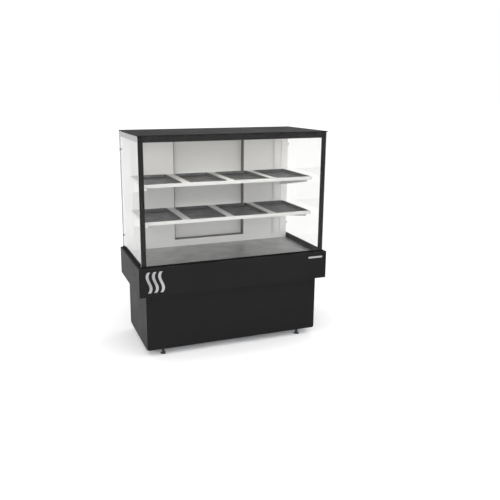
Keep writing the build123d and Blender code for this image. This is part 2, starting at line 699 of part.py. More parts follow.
def slot_base():
    """The height one pitch above the topmost slot, set so that the shelves' hooks meet slots."""
    hook = SHELF_TOPS[1] - SHELF_LIP - HOOK_HEIGHT
    steps = math.floor((UPRIGHT_TOP - SLOT_PITCH - hook) / SLOT_PITCH)
    return hook + (steps + 1) * SLOT_PITCH


def uprights():
    return group([upright(-UPRIGHT_MIDDLE), upright(UPRIGHT_MIDDLE)])


def hook_heights(shelf_top):
    """Middles of a bracket's two hooks: the nearest slots below the shelf."""
    under = shelf_top - SHELF_LIP - HOOK_HEIGHT
    down = math.ceil((slot_base() - under) / SLOT_PITCH - 1e-6)
    first = slot_base() - down * SLOT_PITCH
    return (first, first - 2 * SLOT_PITCH)


def shelf_bracket(x, shelf_top):
    """A tapered blade that carries one end of a shelf, with two hooks in the upright."""
    top = shelf_top - SHELF_LIP
    y1 = UPRIGHT_FACE - BODY_GAP
    y0 = SHELF_Y0 + BRACKET_FRONT_GAP
    outline = Polyline((y0, top), (y1, top), (y1, top - BRACKET_REAR), (y0, top - BRACKET_TIP), close=True)
    face = make_face(Plane.YZ * outline)
    blade = Pos(x - BRACKET_SHEET / 2, 0, 0) * extrude(face, BRACKET_SHEET, dir=(1, 0, 0))
    for z in hook_heights(shelf_top):
        blade = blade + block(x - BRACKET_SHEET / 2, x + BRACKET_SHEET / 2, y1,
                              UPRIGHT_FACE + 3 * SHELF_SHEET, z - HOOK_HEIGHT / 2, z + HOOK_HEIGHT / 2)
    return blade


def shelf_brackets():
    return group([shelf_bracket(x, top) for top in SHELF_TOPS for x in (-BRACKET_X, BRACKET_X)])


def tray_middles():
    return [(index - (TRAYS_PER_SHELF - 1) / 2) * TRAY_PITCH for index in range(TRAYS_PER_SHELF)]


def shelf(top):
    """A shallow pan with a front return and raised dividers between the tray bays."""
    bottom = top - SHELF_LIP
    pan = open_box(-SHELF_HALF, SHELF_HALF, SHELF_Y0, SHELF_Y1, bottom, top, SHELF_SHEET, "+z")
    pan = pan + block(-SHELF_HALF, SHELF_HALF, SHELF_Y0, SHELF_Y0 + SHELF_FRONT_RETURN, top - SHELF_SHEET, top)
    middles = tray_middles()
    for left, right in zip(middles[:-1], middles[1:]):
        x = (left + right) / 2
        cap = block(x - DIVIDER_WIDTH / 2, x + DIVIDER_WIDTH / 2, SHELF_Y0 + SHELF_SHEET,
                    SHELF_Y1 - SHELF_SHEET, bottom + SHELF_SHEET, top)
        hollow = block(x - DIVIDER_WIDTH / 2 + SHELF_SHEET, x + DIVIDER_WIDTH / 2 - SHELF_SHEET,
                       SHELF_Y0 + SHELF_FRONT_RETURN, SHELF_Y1 - 2 * SHELF_SHEET,
                       bottom + SHELF_SHEET, top - SHELF_SHEET)
        pan = pan + (cap - hollow)
    return pan


def tray(middle_x, shelf_top):
    """A dark lift-out tray that stands in one bay of a shelf."""
    y0 = SHELF_Y0 + SHELF_FRONT_RETURN + TRAY_FRONT_GAP
    y1 = SHELF_Y1 - SHELF_SHEET - TRAY_REAR_GAP
    z0 = shelf_top - SHELF_LIP + SHELF_SHEET + BODY_GAP
    z1 = shelf_top + TRAY_PROUD
    depth = y1 - y0
    base = Pos(middle_x, (y0 + y1) / 2, z0)
    rim = extrude(RectangleRounded(TRAY_WIDTH, depth, TRAY_CORNER), TRAY_SHEET)
    bowl_width = TRAY_WIDTH - 2 * TRAY_RIM
    bowl_depth = depth - 2 * TRAY_RIM
    bowl = extrude(RectangleRounded(bowl_width, bowl_depth, TRAY_CORNER - TRAY_RIM), z1 - z0)
    hollow = RectangleRounded(bowl_width - 2 * TRAY_SHEET, bowl_depth - 2 * TRAY_SHEET,
                              TRAY_CORNER - TRAY_RIM - TRAY_SHEET)
    pan = bowl + Pos(0, 0, z1 - z0 - TRAY_SHEET) * rim
    return base * (pan - Pos(0, 0, TRAY_SHEET) * extrude(hollow, z1 - z0))


# ---- service door --------------------------------------------------------------------
def door_leaf():
    return open_box(-DOOR_HALF, DOOR_HALF, DOOR_IN, DOOR_OUT - THIN_SHEET, DOOR_BOTTOM, DOOR_TOP,
                    THIN_SHEET, "+y")


def door_outer_skin():
    return block(-DOOR_HALF, DOOR_HALF, DOOR_OUT - THIN_SHEET, DOOR_OUT, DOOR_BOTTOM, DOOR_TOP)


def door_seal():
    out = DOOR_HALF - SEAL_EDGE
    top = DOOR_TOP - SEAL_EDGE
    bottom = DOOR_BOTTOM + SEAL_EDGE
    y0 = WALL_OUT + BODY_GAP
    ring = block(-out, out, y0, DOOR_IN, bottom, top)
    return ring - block(-out + SEAL_WIDTH, out - SEAL_WIDTH, y0, DOOR_IN, bottom + SEAL_WIDTH, top - SEAL_WIDTH)


def door_handle():
    """A straight grip on two posts."""
    grip_y = DOOR_OUT + HANDLE_REACH - HANDLE_RADIUS
    z0 = HANDLE_Z - HANDLE_LENGTH / 2
    z1 = HANDLE_Z + HANDLE_LENGTH / 2
    handle = rod_z(HANDLE_RADIUS, HANDLE_X, grip_y, z0, z1)
    for z in (z0 + HANDLE_POST_INSET, z1 - HANDLE_POST_INSET):
        handle = handle + rod_y(HANDLE_POST_RADIUS, HANDLE_X, DOOR_OUT, grip_y, z)
    return handle


def hinge_wall_halves():
    """On each hinge, the plate on the wall with its top and bottom knuckles."""
    pieces = []
    for z in HINGE_HEIGHTS:
        reach = KNUCKLE / 2 + KNUCKLE_GAP
        x0 = HINGE_X - HINGE_PLATE_WIDTH
        half = block(x0, HINGE_X, WALL_OUT, WALL_OUT + HINGE_PLATE, z - reach - KNUCKLE, z + reach + KNUCKLE)
        for low in (z - reach - KNUCKLE, z + reach):
            arm = block(HINGE_X - HINGE_BARREL, HINGE_X, WALL_OUT, HINGE_Y, low, low + KNUCKLE)
            knuckle = rod_z(HINGE_BARREL, HINGE_X, HINGE_Y, low, low + KNUCKLE)
            half = half + arm + knuckle
            half = half - rod_z(HINGE_PIN, HINGE_X, HINGE_Y, low, low + KNUCKLE)
        pieces.append(half)
    return group(pieces)


def hinge_door_halves():
    """On each hinge, the middle knuckle and its tab on the door's edge."""
    pieces = []
    for z in HINGE_HEIGHTS:
        low = z - KNUCKLE / 2
        tab = block(HINGE_X, -DOOR_HALF, HINGE_Y - HINGE_BARREL, HINGE_Y + HINGE_BARREL, low, low + KNUCKLE)
        half = tab + rod_z(HINGE_BARREL, HINGE_X, HINGE_Y, low, low + KNUCKLE)
        pieces.append(half - rod_z(HINGE_PIN + RUN_GAP, HINGE_X, HINGE_Y, low, low + KNUCKLE))
    return group(pieces)


def hinge_pins():
    reach = 1.5 * KNUCKLE + KNUCKLE_GAP
    return group([rod_z(HINGE_PIN, HINGE_X, HINGE_Y, z - reach, z + reach) for z in HINGE_HEIGHTS])


# ---- controls ------------------------------------------------------------------------
def control_panel():
    panel = block(CONTROL_X - CONTROL_WIDTH / 2, CONTROL_X + CONTROL_WIDTH / 2, Y_REAR, PANEL_FACE,
                  CONTROL_Z - CONTROL_HEIGHT / 2, CONTROL_Z + CONTROL_HEIGHT / 2)
    corners = panel.edges().filter_by(Axis.Y)
    panel = fillet(corners, CONTROL_CORNER)
    for cut in control_cutouts(Y_REAR - SHEET, PANEL_FACE + SHEET):
        panel = panel - cut
    return panel


def thermostat_body():
    half = THERMOSTAT_SIZE / 2
    box = block(KNOB_X - half, KNOB_X + half, WALL_OUT - THERMOSTAT_DEPTH, WALL_OUT,
                CONTROL_Z - half, CONTROL_Z + half)
    bush = rod_y(BUSH_RADIUS, KNOB_X, WALL_OUT, PANEL_FACE + BUSH_PROUD, CONTROL_Z)
    bore_end = PANEL_FACE + BUSH_PROUD + BODY_GAP - KNOB_SHAFT_LENGTH - HOLE_GAP
    bore = rod_y(KNOB_SHAFT + RUN_GAP, KNOB_X, bore_end, PANEL_FACE + BUSH_PROUD, CONTROL_Z)
    return box + bush - bore


def thermostat_knob():
    y0 = PANEL_FACE + BUSH_PROUD + BODY_GAP
    skirt = rod_y(KNOB_RADIUS, KNOB_X, y0, y0 + KNOB_HEIGHT, CONTROL_Z)
    skirt = chamfer(skirt.edges().filter_by(GeomType.CIRCLE).sort_by(Axis.Y)[-1], KNOB_CHAMFER)
    pointer = Box(POINTER_WIDTH, POINTER_PROUD, POINTER_LENGTH)
    pointer = Pos(KNOB_X, y0 + KNOB_HEIGHT + POINTER_PROUD / 2, CONTROL_Z + POINTER_LIFT) * pointer
    shaft = rod_y(KNOB_SHAFT, KNOB_X, y0 - KNOB_SHAFT_LENGTH, y0, CONTROL_Z)
    return skirt + pointer + shaft


def switch_frame(x):
    width, height = SWITCH_FLANGE
    flange = block(x - width / 2, x + width / 2, PANEL_FACE, PANEL_FACE + SWITCH_PLATE,
                   CONTROL_Z - height / 2, CONTROL_Z + height / 2)
    width, height = SWITCH_BODY
    body = block(x - width / 2, x + width / 2, PANEL_FACE - SWITCH_DEPTH, PANEL_FACE,
                 CONTROL_Z - height / 2, CONTROL_Z + height / 2)
    width, height = SWITCH_POCKET
    pocket = block(x - width / 2, x + width / 2, PANEL_FACE + SWITCH_PLATE - SWITCH_POCKET_DEPTH,
                   PANEL_FACE + SWITCH_PLATE, CONTROL_Z - height / 2, CONTROL_Z + height / 2)
    reach = width / 2 + TRUNNION
    bore = rod_x(TRUNNION + RUN_GAP, x - reach, x + reach, PANEL_FACE, CONTROL_Z)
    return flange + body - pocket - bore


def switch_frames():
    return group([switch_frame(x) for x in SWITCH_XS])


def rocker(x):
    """A dished rocker on two trunnions, resting with its upper half pressed in."""
    width = SWITCH_POCKET[0] / 2 - BODY_GAP
    top = (ROCKER_HALF_HEIGHT, ROCKER_FACE)
    dish = (0, ROCKER_DISH)
    root = (ROCKER_ROOT, -ROCKER_ROOT)
    points = [top, dish, (-top[0], top[1]), (-top[0], 0), (-root[0], root[1]), root, (top[0], 0)]
    outline = Polyline(*[(y, z) for z, y in points], close=True)
    face = make_face(Plane.YZ * outline)
    body = Pos(-width, 0, 0) * extrude(face, 2 * width, dir=(1, 0, 0))
    reach = SWITCH_POCKET[0] / 2 + TRUNNION - BODY_GAP
    body = body + rod_x(TRUNNION, -reach, reach, 0, 0)
    return Pos(x, PANEL_FACE, CONTROL_Z) * Rot(ROCKER_TILT, 0, 0) * body


def thermometer():
    bezel = rod_y(GAUGE_BEZEL, GAUGE_X, PANEL_FACE, PANEL_FACE + GAUGE_PROUD, CONTROL_Z)
    face = rod_y(GAUGE_BODY, GAUGE_X, PANEL_FACE + GAUGE_PROUD - SHELF_SHEET,
                 PANEL_FACE + GAUGE_PROUD, CONTROL_Z)
    body = rod_y(GAUGE_BODY, GAUGE_X, PANEL_FACE - GAUGE_BODY_DEPTH, PANEL_FACE, CONTROL_Z)
    return bezel + body - face


def cable_gland():
    dome = rod_y(GLAND_BODY, GLAND_X, Y_REAR + GLAND_HEX_HEIGHT, Y_REAR + GLAND_HEX_HEIGHT + GLAND_DOME, GLAND_Z)
    dome = chamfer(dome.edges().filter_by(GeomType.CIRCLE).sort_by(Axis.Y)[-1], GLAND_CHAMFER)
    nut = hex_y(GLAND_HEX, GLAND_X, Y_REAR, Y_REAR + GLAND_HEX_HEIGHT, GLAND_Z)
    tail = rod_y(GLAND_BODY, GLAND_X, Y_REAR - SHEET - GLAND_TAIL, Y_REAR, GLAND_Z)
    bore = rod_y(GLAND_BORE, GLAND_X, Y_REAR - 2 * GLAND_DOME, Y_REAR + 2 * GLAND_DOME, GLAND_Z)
    return dome + nut + tail - bore


# ---- badges and screws ---------------------------------------------------------------
def heat_strip(x):
    """One upright wavy bar of the heat symbol."""
    quarter = STRIP_HEIGHT / 4
    points = [(x + STRIP_SWAY * math.sin(index * math.pi / 2), -2 * quarter + index * quarter)
              for index in range(5)]
    left = [(px - STRIP_WIDTH / 2, pz) for px, pz in points]
    right = [(px + STRIP_WIDTH / 2, pz) for px, pz in points]
    edge_left = Spline(*left)
    edge_right = Spline(*right)
    top = Line(edge_left @ 1, edge_right @ 1)
    bottom = Line(edge_left @ 0, edge_right @ 0)
    face = make_face([edge_left, top, edge_right, bottom])
    strip = extrude(face, BADGE_THICKNESS, dir=(0, 0, 1))
    return Pos(BADGE_X, Y_FRONT, BADGE_Z) * Rot(90, 0, 0) * strip


def front_badges():
    pieces = [heat_strip(index * STRIP_PITCH) for index in (-1, 0, 1)]
    half_width = NAMEPLATE_WIDTH / 2
    half_height = NAMEPLATE_HEIGHT / 2
    pieces.append(block(NAMEPLATE_X - half_width, NAMEPLATE_X + half_width, Y_FRONT - SHELF_SHEET, Y_FRONT,
                        NAMEPLATE_Z - half_height, NAMEPLATE_Z + half_height))
    return group(pieces)


def panel_screws():
    pieces = []
    screw_y = Y_FRONT + FASCIA_SCREW_FROM_FRONT
    for side in (-1, 1):
        x0, x1 = sorted((side * HALF, side * (HALF + SCREW_HEAD_HEIGHT)))
        head = rod_x(SCREW_HEAD, x0, x1, screw_y, FASCIA_SCREW_Z)
        x0, x1 = sorted((side * (HALF - SCREW_LENGTH), side * HALF))
        pieces.append(head + rod_x(SCREW_RADIUS, x0, x1, screw_y, FASCIA_SCREW_Z))
    for x, z in rear_screw_points():
        head = rod_y(SCREW_HEAD, x, PLINTH_REAR, PLINTH_REAR + SCREW_HEAD_HEIGHT, z)
        pieces.append(head + rod_y(SCREW_RADIUS, x, PLINTH_REAR - SHEET, PLINTH_REAR, z))
    return group(pieces)


def build_nodes():
    nodes = {
        "base_floor_pan": base_floor_pan(),
        "corner_posts": corner_posts(),
        "plinth_front_panel": plinth_front_panel(),
        "plinth_side_panels": plinth_side_panels(),
        "plinth_rear_panel": plinth_rear_panel(),
        "fascia_floor": fascia_floor(),
        "front_fascia": front_fascia(),
        "side_fascias": side_fascias(),
        "rear_fascia": rear_fascia(),
        "ledge_frame": ledge_frame(),
        "deck_bearers": deck_bearers(),
        "element_pan": element_pan(),
        "heating_elements": heating_elements(),
        "insulation_blocks": insulation_blocks(),
        "deck_plate": deck_plate(),
        "front_glass": front_glass(),
        "side_glasses": side_glasses(),
        "glass_gaskets": glass_gaskets(),
        "front_glass_border": front_glass_border(),
        "glass_bolts": glass_bolts(),
        "roof_panel": roof_panel(),
        "roof_frame": roof_frame(),
        "light_housing": light_housing(),
        "light_diffuser": light_diffuser(),
        "rear_wall_panels": rear_wall_panels(),
        "rear_wall_covers": rear_wall_covers(),
        "rear_cross_members": rear_cross_members(),
        "uprights": uprights(),
        "shelf_brackets": shelf_brackets(),
        "door_leaf": door_leaf(),
        "door_outer_skin": door_outer_skin(),
        "door_seal": door_seal(),
        "door_handle": door_handle(),
        "hinge_wall_halves": hinge_wall_halves(),
        "hinge_door_halves": hinge_door_halves(),
        "hinge_pins": hinge_pins(),
        "control_panel": control_panel(),
        "thermostat_body": thermostat_body(),
        "thermostat_knob": thermostat_knob(),
        "switch_frames": switch_frames(),
        "power_rocker": rocker(SWITCH_XS[0]),
        "light_rocker": rocker(SWITCH_XS[1]),
        "thermometer": thermometer(),
        "cable_gland": cable_gland(),
        "front_badges": front_badges(),
        "panel_screws": panel_screws(),
    }
    for y, end in zip(FOOT_YS, ("front", "rear")):
        nodes["foot_" + end + "_left"] = levelling_foot(-FOOT_X, y)
        nodes["foot_" + end + "_right"] = levelling_foot(FOOT_X, y)
    for level, top in zip(("lower", "upper"), SHELF_TOPS):
        nodes["shelf_" + level] = shelf(top)
        for number, x in enumerate(tray_middles(), start=1):
            nodes[f"tray_{level}_{number}"] = tray(x, top)
    return nodes


def main():
    os.makedirs("parts", exist_ok=True)
    for name, shape in build_nodes().items():
        export_step(shape, f"parts/{name}.step")


if __name__ == "__main__":
    main()
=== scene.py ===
"""Finishes, detail pieces, light and camera of a hot food display case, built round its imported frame."""

import json
import logging
import math
from collections.abc import Callable, Iterable, Sequence
from dataclasses import dataclass, field
from enum import Enum
from typing import Any

import bmesh
import bpy
from mathutils import Matrix, Vector


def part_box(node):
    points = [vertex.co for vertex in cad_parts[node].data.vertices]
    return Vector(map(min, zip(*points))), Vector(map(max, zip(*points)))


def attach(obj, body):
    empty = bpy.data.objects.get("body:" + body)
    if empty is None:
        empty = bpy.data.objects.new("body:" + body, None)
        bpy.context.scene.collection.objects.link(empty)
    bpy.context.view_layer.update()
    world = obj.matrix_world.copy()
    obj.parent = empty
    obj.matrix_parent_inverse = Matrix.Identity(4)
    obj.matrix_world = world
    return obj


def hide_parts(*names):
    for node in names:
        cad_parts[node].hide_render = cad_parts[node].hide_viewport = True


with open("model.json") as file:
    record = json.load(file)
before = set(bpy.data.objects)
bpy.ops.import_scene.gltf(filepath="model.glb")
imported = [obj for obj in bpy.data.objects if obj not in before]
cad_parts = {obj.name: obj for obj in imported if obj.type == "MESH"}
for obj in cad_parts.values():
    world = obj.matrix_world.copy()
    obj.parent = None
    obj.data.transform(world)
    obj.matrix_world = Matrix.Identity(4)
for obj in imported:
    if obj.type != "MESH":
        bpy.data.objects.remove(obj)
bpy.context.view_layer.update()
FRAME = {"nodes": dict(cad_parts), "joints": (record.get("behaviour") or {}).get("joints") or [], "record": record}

LOG = logging.getLogger("display_case")
Colour = tuple[float, float, float]
Loop = list[Vector]
Socket = bpy.types.NodeSocket


class Body(str, Enum):
    """The frame's bodies that detail pieces ride on."""

    CABINET = "cabinet"
    DOOR = "service_door"
    KNOB = "thermostat_knob"
    POWER = "power_rocker"
    LIGHT = "light_rocker"
    FOOT_FRONT_LEFT = "foot_front_left"
    FOOT_FRONT_RIGHT = "foot_front_right"
    FOOT_REAR_LEFT = "foot_rear_left"
    FOOT_REAR_RIGHT = "foot_rear_right"
    TRAY_LOWER_1 = "tray_lower_1"
    TRAY_LOWER_2 = "tray_lower_2"
    TRAY_LOWER_3 = "tray_lower_3"
    TRAY_LOWER_4 = "tray_lower_4"
    TRAY_UPPER_1 = "tray_upper_1"
    TRAY_UPPER_2 = "tray_upper_2"
    TRAY_UPPER_3 = "tray_upper_3"
    TRAY_UPPER_4 = "tray_upper_4"


class Slot(str, Enum):
    """The record's material slots."""

    BLACK_PAINT = "black_paint"
    # The side slot takes a lighter copy of the black paint: a painted highlight for the light that falls on the
    # side faces.
    BLACK_PAINTED_HIGHLIGHT = "black_paint_side"
    ZINC = "zinc_steel"
    STAINLESS = "stainless"
    WHITE_PAINT = "white_paint"
    SHELF_PAINT = "shelf_paint"
    ENAMEL = "tray_enamel"
    GLASS = "clear_glass"
    PRINT = "black_print"
    RUBBER = "black_rubber"
    FOOT = "foot_plastic"
    INSULATION = "insulation"
    HEATER = "heater_metal"
    PLASTIC = "black_plastic"
    KNOB = "knob_plastic"
    ROCKER = "red_rocker"
    LENS = "lamp_lens"
    BRIGHT = "bright_metal"
    DIAL = "dial_metal"


class Axis(Enum):
    """Directions that a turned piece may point in."""

    RIGHT = (1, 0, 0)
    LEFT = (-1, 0, 0)
    BACK = (0, 1, 0)
    UP = (0, 0, 1)

    def frame(self, origin: Sequence[float]) -> Matrix:
        """Gives the matrix that sets local +Z along this direction, at origin."""
        turn = Vector(self.value).to_track_quat("Z", "Y")
        return Matrix.Translation(Vector(origin)) @ turn.to_matrix().to_4x4()


# ---- shader graphs -------------------------------------------------------------------
class Graph:
    """Short calls for one node tree."""

    def __init__(self, tree: bpy.types.NodeTree) -> None:
        """Wraps a tree.

        Args:
            tree: The node tree that nodes are added to.
        """
        self.tree = tree

    def node(self, kind: str, inputs: dict[Any, Any] | None = None, **settings: Any) -> bpy.types.Node:
        """Adds a node.

        Args:
            kind: Blender's name for the node type.
            inputs: Values or sockets for its inputs, by name or number.
            settings: The node's own properties.

        Returns:
            The new node.
        """
        made = self.tree.nodes.new(kind)
        for key, value in settings.items():
            setattr(made, key, value)
        for key, value in (inputs or {}).items():
            if isinstance(value, Socket):
                self.tree.links.new(value, made.inputs[key])
            else:
                made.inputs[key].default_value = value
        return made

    def math(self, operation: str, *values: Any) -> Socket:
        """Adds a Math node and gives its output.

        Args:
            operation: Blender's name for the operation.
            values: Its inputs, numbers or sockets.

        Returns:
            The result's socket.
        """
        return self.node("ShaderNodeMath", dict(enumerate(values)), operation=operation).outputs[0]

    def mix(self, share: Any, first: Any, second: Any) -> Socket:
        """Mixes two colours.

        Args:
            share: How much of the second one shows.
            first: A colour or socket.
            second: A colour or socket.

        Returns:
            The mixed colour's socket.
        """
        inputs = {0: share, 6: rgba(first), 7: rgba(second)}
        return self.node("ShaderNodeMix", inputs, data_type="RGBA").outputs[2]

    def spread(self, value: Any, low: float, high: float, to: tuple[float, float] = (0, 1)) -> Socket:
        """Maps a value from one span to another, clamped.

        Args:
            value: The socket to map.
            low: The span's low end.
            high: The span's high end.
            to: The two values that the ends become.

        Returns:
            The mapped value's socket.
        """
        inputs = {0: value, 1: low, 2: high, 3: to[0], 4: to[1]}
        return self.node("ShaderNodeMapRange", inputs).outputs[0]

    def noise(self, place: Socket, scale: Any, detail: float) -> Socket:
        """Adds a Noise Texture and gives its value.

        Args:
            place: The socket that it is looked up by.
            scale: Its scale, a number or socket.
            detail: How many finer layers it has.

        Returns:
            The value's socket.
        """
        inputs = {"Vector": place, "Scale": scale, "Detail": detail}
        return self.node("ShaderNodeTexNoise", inputs).outputs["Fac"]


def rgba(colour: Any) -> Any:
    """Gives a colour its alpha, and leaves a socket as it is."""
    return colour if isinstance(colour, Socket) else (*colour, 1.0)


class Effect:
    """A shader node group that several finishes share."""

    name = "effect"
    inputs: dict[str, tuple[str, Any]] = {}
    outputs: tuple[str, ...] = ()

    def group(self) -> bpy.types.NodeTree:
        """Gives the group, made on its first use.

        Returns:
            The group's node tree.
        """
        found = bpy.data.node_groups.get(self.name)
        if found:
            return found
        tree = bpy.data.node_groups.new(self.name, "ShaderNodeTree")
        for title, (kind, value) in self.inputs.items():
            socket = tree.interface.new_socket(name=title, in_out="INPUT", socket_type=kind)
            socket.default_value = value
        for title in self.outputs:
            tree.interface.new_socket(name=title, in_out="OUTPUT", socket_type="NodeSocketFloat")
        graph = Graph(tree)
        entry = graph.node("NodeGroupInput")
        results = self.wire(graph, entry.outputs)
        graph.node("NodeGroupOutput", dict(zip(self.outputs, results)))
        return tree

    def wire(self, graph: Graph, entry: Any) -> list[Socket]:
        """Builds the group's nodes.

        Args:
            graph: The group's graph.
            entry: The sockets of its inputs.

        Returns:
            One socket for each output.
        """
        raise NotImplementedError

    def use(self, graph: Graph, **values: Any) -> bpy.types.Node:
        """Places the group in a material.

        Args:
            graph: The material's graph.
            values: The group's inputs, with spaces in their names as underscores.

        Returns:
            The group node.
        """
        named = {key.replace("_", " "): value for key, value in values.items()}
        made = graph.node("ShaderNodeGroup", node_tree=self.group())
        for key, value in named.items():
            made.inputs[key].default_value = value
        return made


class Grain(Effect):
    """Orange-peel texture of paint or moulded plastic, with a slow change of tone."""

    name = "Surface grain"
    inputs = {"Scale": ("NodeSocketFloat", 900.0), "Patch Scale": ("NodeSocketFloat", 6.0)}
    outputs = ("Height", "Tone")

    def wire(self, graph: Graph, entry: Any) -> list[Socket]:
        """Builds fine noise for height and broad noise for tone.

        Args:
            graph: The group's graph.
            entry: The sockets of its inputs.

        Returns:
            The height and the tone.
        """
        place = graph.node("ShaderNodeTexCoord").outputs["Object"]
        fine = graph.noise(place, entry["Scale"], 3.0)
        broad = graph.noise(place, entry["Patch Scale"], 5.0)
        return [fine, graph.spread(broad, 0.3, 0.7)]


class EdgeWear(Effect):
    """Where an outside edge is rubbed: the true normal against a rounded one, broken up by noise."""

    name = "Edge wear"
    inputs = {
        "Radius": ("NodeSocketFloat", 0.002),
        "Amount": ("NodeSocketFloat", 0.5),
        "Scale": ("NodeSocketFloat", 120.0),
    }
    outputs = ("Mask",)

    def wire(self, graph: Graph, entry: Any) -> list[Socket]:
        """Builds the edge mask.

        Args:
            graph: The group's graph.
            entry: The sockets of its inputs.

        Returns:
            The mask.
        """
        rounded = graph.node("ShaderNodeBevel", {"Radius": entry["Radius"]}, samples=4).outputs[0]
        true = graph.node("ShaderNodeNewGeometry").outputs["Normal"]
        inputs = {0: rounded, 1: true}
        likeness = graph.node("ShaderNodeVectorMath", inputs, operation="DOT_PRODUCT").outputs["Value"]
        edge = graph.spread(likeness, 0.97, 0.8)
        place = graph.node("ShaderNodeTexCoord").outputs["Object"]
        broken = graph.spread(graph.noise(place, entry["Scale"], 6.0), 0.42, 0.62)
        return [graph.math("MULTIPLY", graph.math("MULTIPLY", edge, broken), entry["Amount"])]


class Brushing(Effect):
    """The fine lines of brushed or rolled metal."""

    name = "Brushed lines"
    inputs = {
        "Stretch": ("NodeSocketVector", (2.0, 400.0, 400.0)),
        "Scale": ("NodeSocketFloat", 4.0),
    }
    outputs = ("Height", "Tone")

    def wire(self, graph: Graph, entry: Any) -> list[Socket]:
        """Builds noise drawn out along the brushing, and a broad change of tone.

        Args:
            graph: The group's graph.
            entry: The sockets of its inputs.

        Returns:
            The height and the tone.
        """
        place = graph.node("ShaderNodeTexCoord").outputs["Object"]
        inputs = {0: place, 1: entry["Stretch"]}
        drawn = graph.node("ShaderNodeVectorMath", inputs, operation="MULTIPLY").outputs[0]
        lines = graph.noise(drawn, entry["Scale"], 4.0)
        return [lines, graph.spread(graph.noise(place, 9.0, 2.0), 0.3, 0.7)]


class Dust(Effect):
    """A thin film of dust and smears on faces that look up."""

    name = "Settled dust"
    inputs = {"Amount": ("NodeSocketFloat", 0.2), "Scale": ("NodeSocketFloat", 14.0)}
    outputs = ("Mask",)

    def wire(self, graph: Graph, entry: Any) -> list[Socket]:
        """Builds the mask from the normal's height and noise.

        Args:
            graph: The group's graph.
            entry: The sockets of its inputs.

        Returns:
            The mask.
        """
        normal = graph.node("ShaderNodeNewGeometry").outputs["Normal"]
        up = graph.node("ShaderNodeSeparateXYZ", {0: normal}).outputs[2]
        place = graph.node("ShaderNodeTexCoord").outputs["Object"]
        patchy = graph.spread(graph.noise(place, entry["Scale"], 8.0), 0.35, 0.75)
        facing = graph.spread(up, 0.5, 0.95)
        return [graph.math("MULTIPLY", graph.math("MULTIPLY", patchy, facing), entry["Amount"])]


GRAIN = Grain()
EDGE_WEAR = EdgeWear()
BRUSHING = Brushing()
DUST = Dust()


# ---- finishes ------------------------------------------------------------------------
class Finish:
    """A surface finish, which makes one material."""

    name: str

    def material(self) -> bpy.types.Material:
        """Gives the material, made on its first use.

        Returns:
            The material.
        """
        title = "finish_" + self.name
        found = bpy.data.materials.get(title)
        if found:
            return found
        made = bpy.data.materials.new(title)
        made.use_nodes = True
        made.node_tree.nodes.clear()
        graph = Graph(made.node_tree)
        graph.node("ShaderNodeOutputMaterial", {"Surface": self.surface(graph)})
        return made

    def surface(self, graph: Graph) -> Socket:
        """Builds the finish's shader.

        Args:
            graph: The material's graph.

        Returns:
            The shader's output.
        """
        raise NotImplementedError

    @staticmethod
    def bump(graph: Graph, height: Socket, depth: float) -> Socket:
        """Turns a height into a normal.

        Args:
            graph: The material's graph.
            height: The height's socket.
            depth: What a height of one stands for, in metres.

        Returns:
            The normal's socket.
        """
        inputs = {"Height": height, "Distance": depth, "Strength": 1.0}
        return graph.node("ShaderNodeBump", inputs).outputs["Normal"]


@dataclass(frozen=True)
class PowderCoat(Finish):
    """Baked powder paint on sheet metal."""

    name: str
    colour: Colour
    shade: Colour
    roughness: float = 0.5
    specular: float = 0.1
    grain: float = 0.00004
    worn: Colour = (0.3, 0.3, 0.3)
    wear: float = 0.25
    dust: float = 0.06

    def surface(self, graph: Graph) -> Socket:
        """Builds paint with grain, rubbed edges and a film of dust.

        Args:
            graph: The material's graph.

        Returns:
            The shader's output.
        """
        grain = GRAIN.use(graph, Scale=700.0, Patch_Scale=3.0)
        wear = EDGE_WEAR.use(graph, Radius=0.0015, Amount=self.wear, Scale=90.0)
        dust = DUST.use(graph, Amount=self.dust, Scale=11.0)
        paint = graph.mix(grain.outputs["Tone"], self.colour, self.shade)
        rubbed = graph.mix(wear.outputs["Mask"], paint, self.worn)
        colour = graph.mix(dust.outputs["Mask"], rubbed, (0.42, 0.41, 0.39))
        low, high = self.roughness - 0.05, self.roughness + 0.06
        inputs = {
            "Base Color": colour,
            "Roughness": graph.spread(grain.outputs["Tone"], 0, 1, (low, high)),
            "Specular IOR Level": self.specular,
            "Normal": self.bump(graph, grain.outputs["Height"], self.grain),
        }
        return graph.node("ShaderNodeBsdfPrincipled", inputs).outputs[0]


@dataclass(frozen=True)
class BrushedMetal(Finish):
    """Rolled, brushed or plated metal."""

    name: str
    colour: Colour
    shade: Colour
    roughness: float = 0.3
    spread: float = 0.12
    stretch: Colour = (2.0, 400.0, 400.0)
    depth: float = 0.00003
    dust: float = 0.05

    def surface(self, graph: Graph) -> Socket:
        """Builds metal whose lines change its tone, gloss and normal.

        Args:
            graph: The material's graph.

        Returns:
            The shader's output.
        """
        lines = BRUSHING.use(graph, Stretch=self.stretch, Scale=4.0)
        dust = DUST.use(graph, Amount=self.dust, Scale=20.0)
        toned = graph.math("MULTIPLY", lines.outputs["Height"], lines.outputs["Tone"])
        metal = graph.mix(graph.spread(toned, 0.1, 0.5), self.colour, self.shade)
        high = self.roughness + self.spread
        inputs = {
            "Base Color": graph.mix(dust.outputs["Mask"], metal, (0.5, 0.49, 0.47)),
            "Roughness": graph.spread(lines.outputs["Height"], 0.3, 0.7, (self.roughness, high)),
            "Metallic": 1.0,
            "Normal": self.bump(graph, lines.outputs["Height"], self.depth),
        }
        return graph.node("ShaderNodeBsdfPrincipled", inputs).outputs[0]


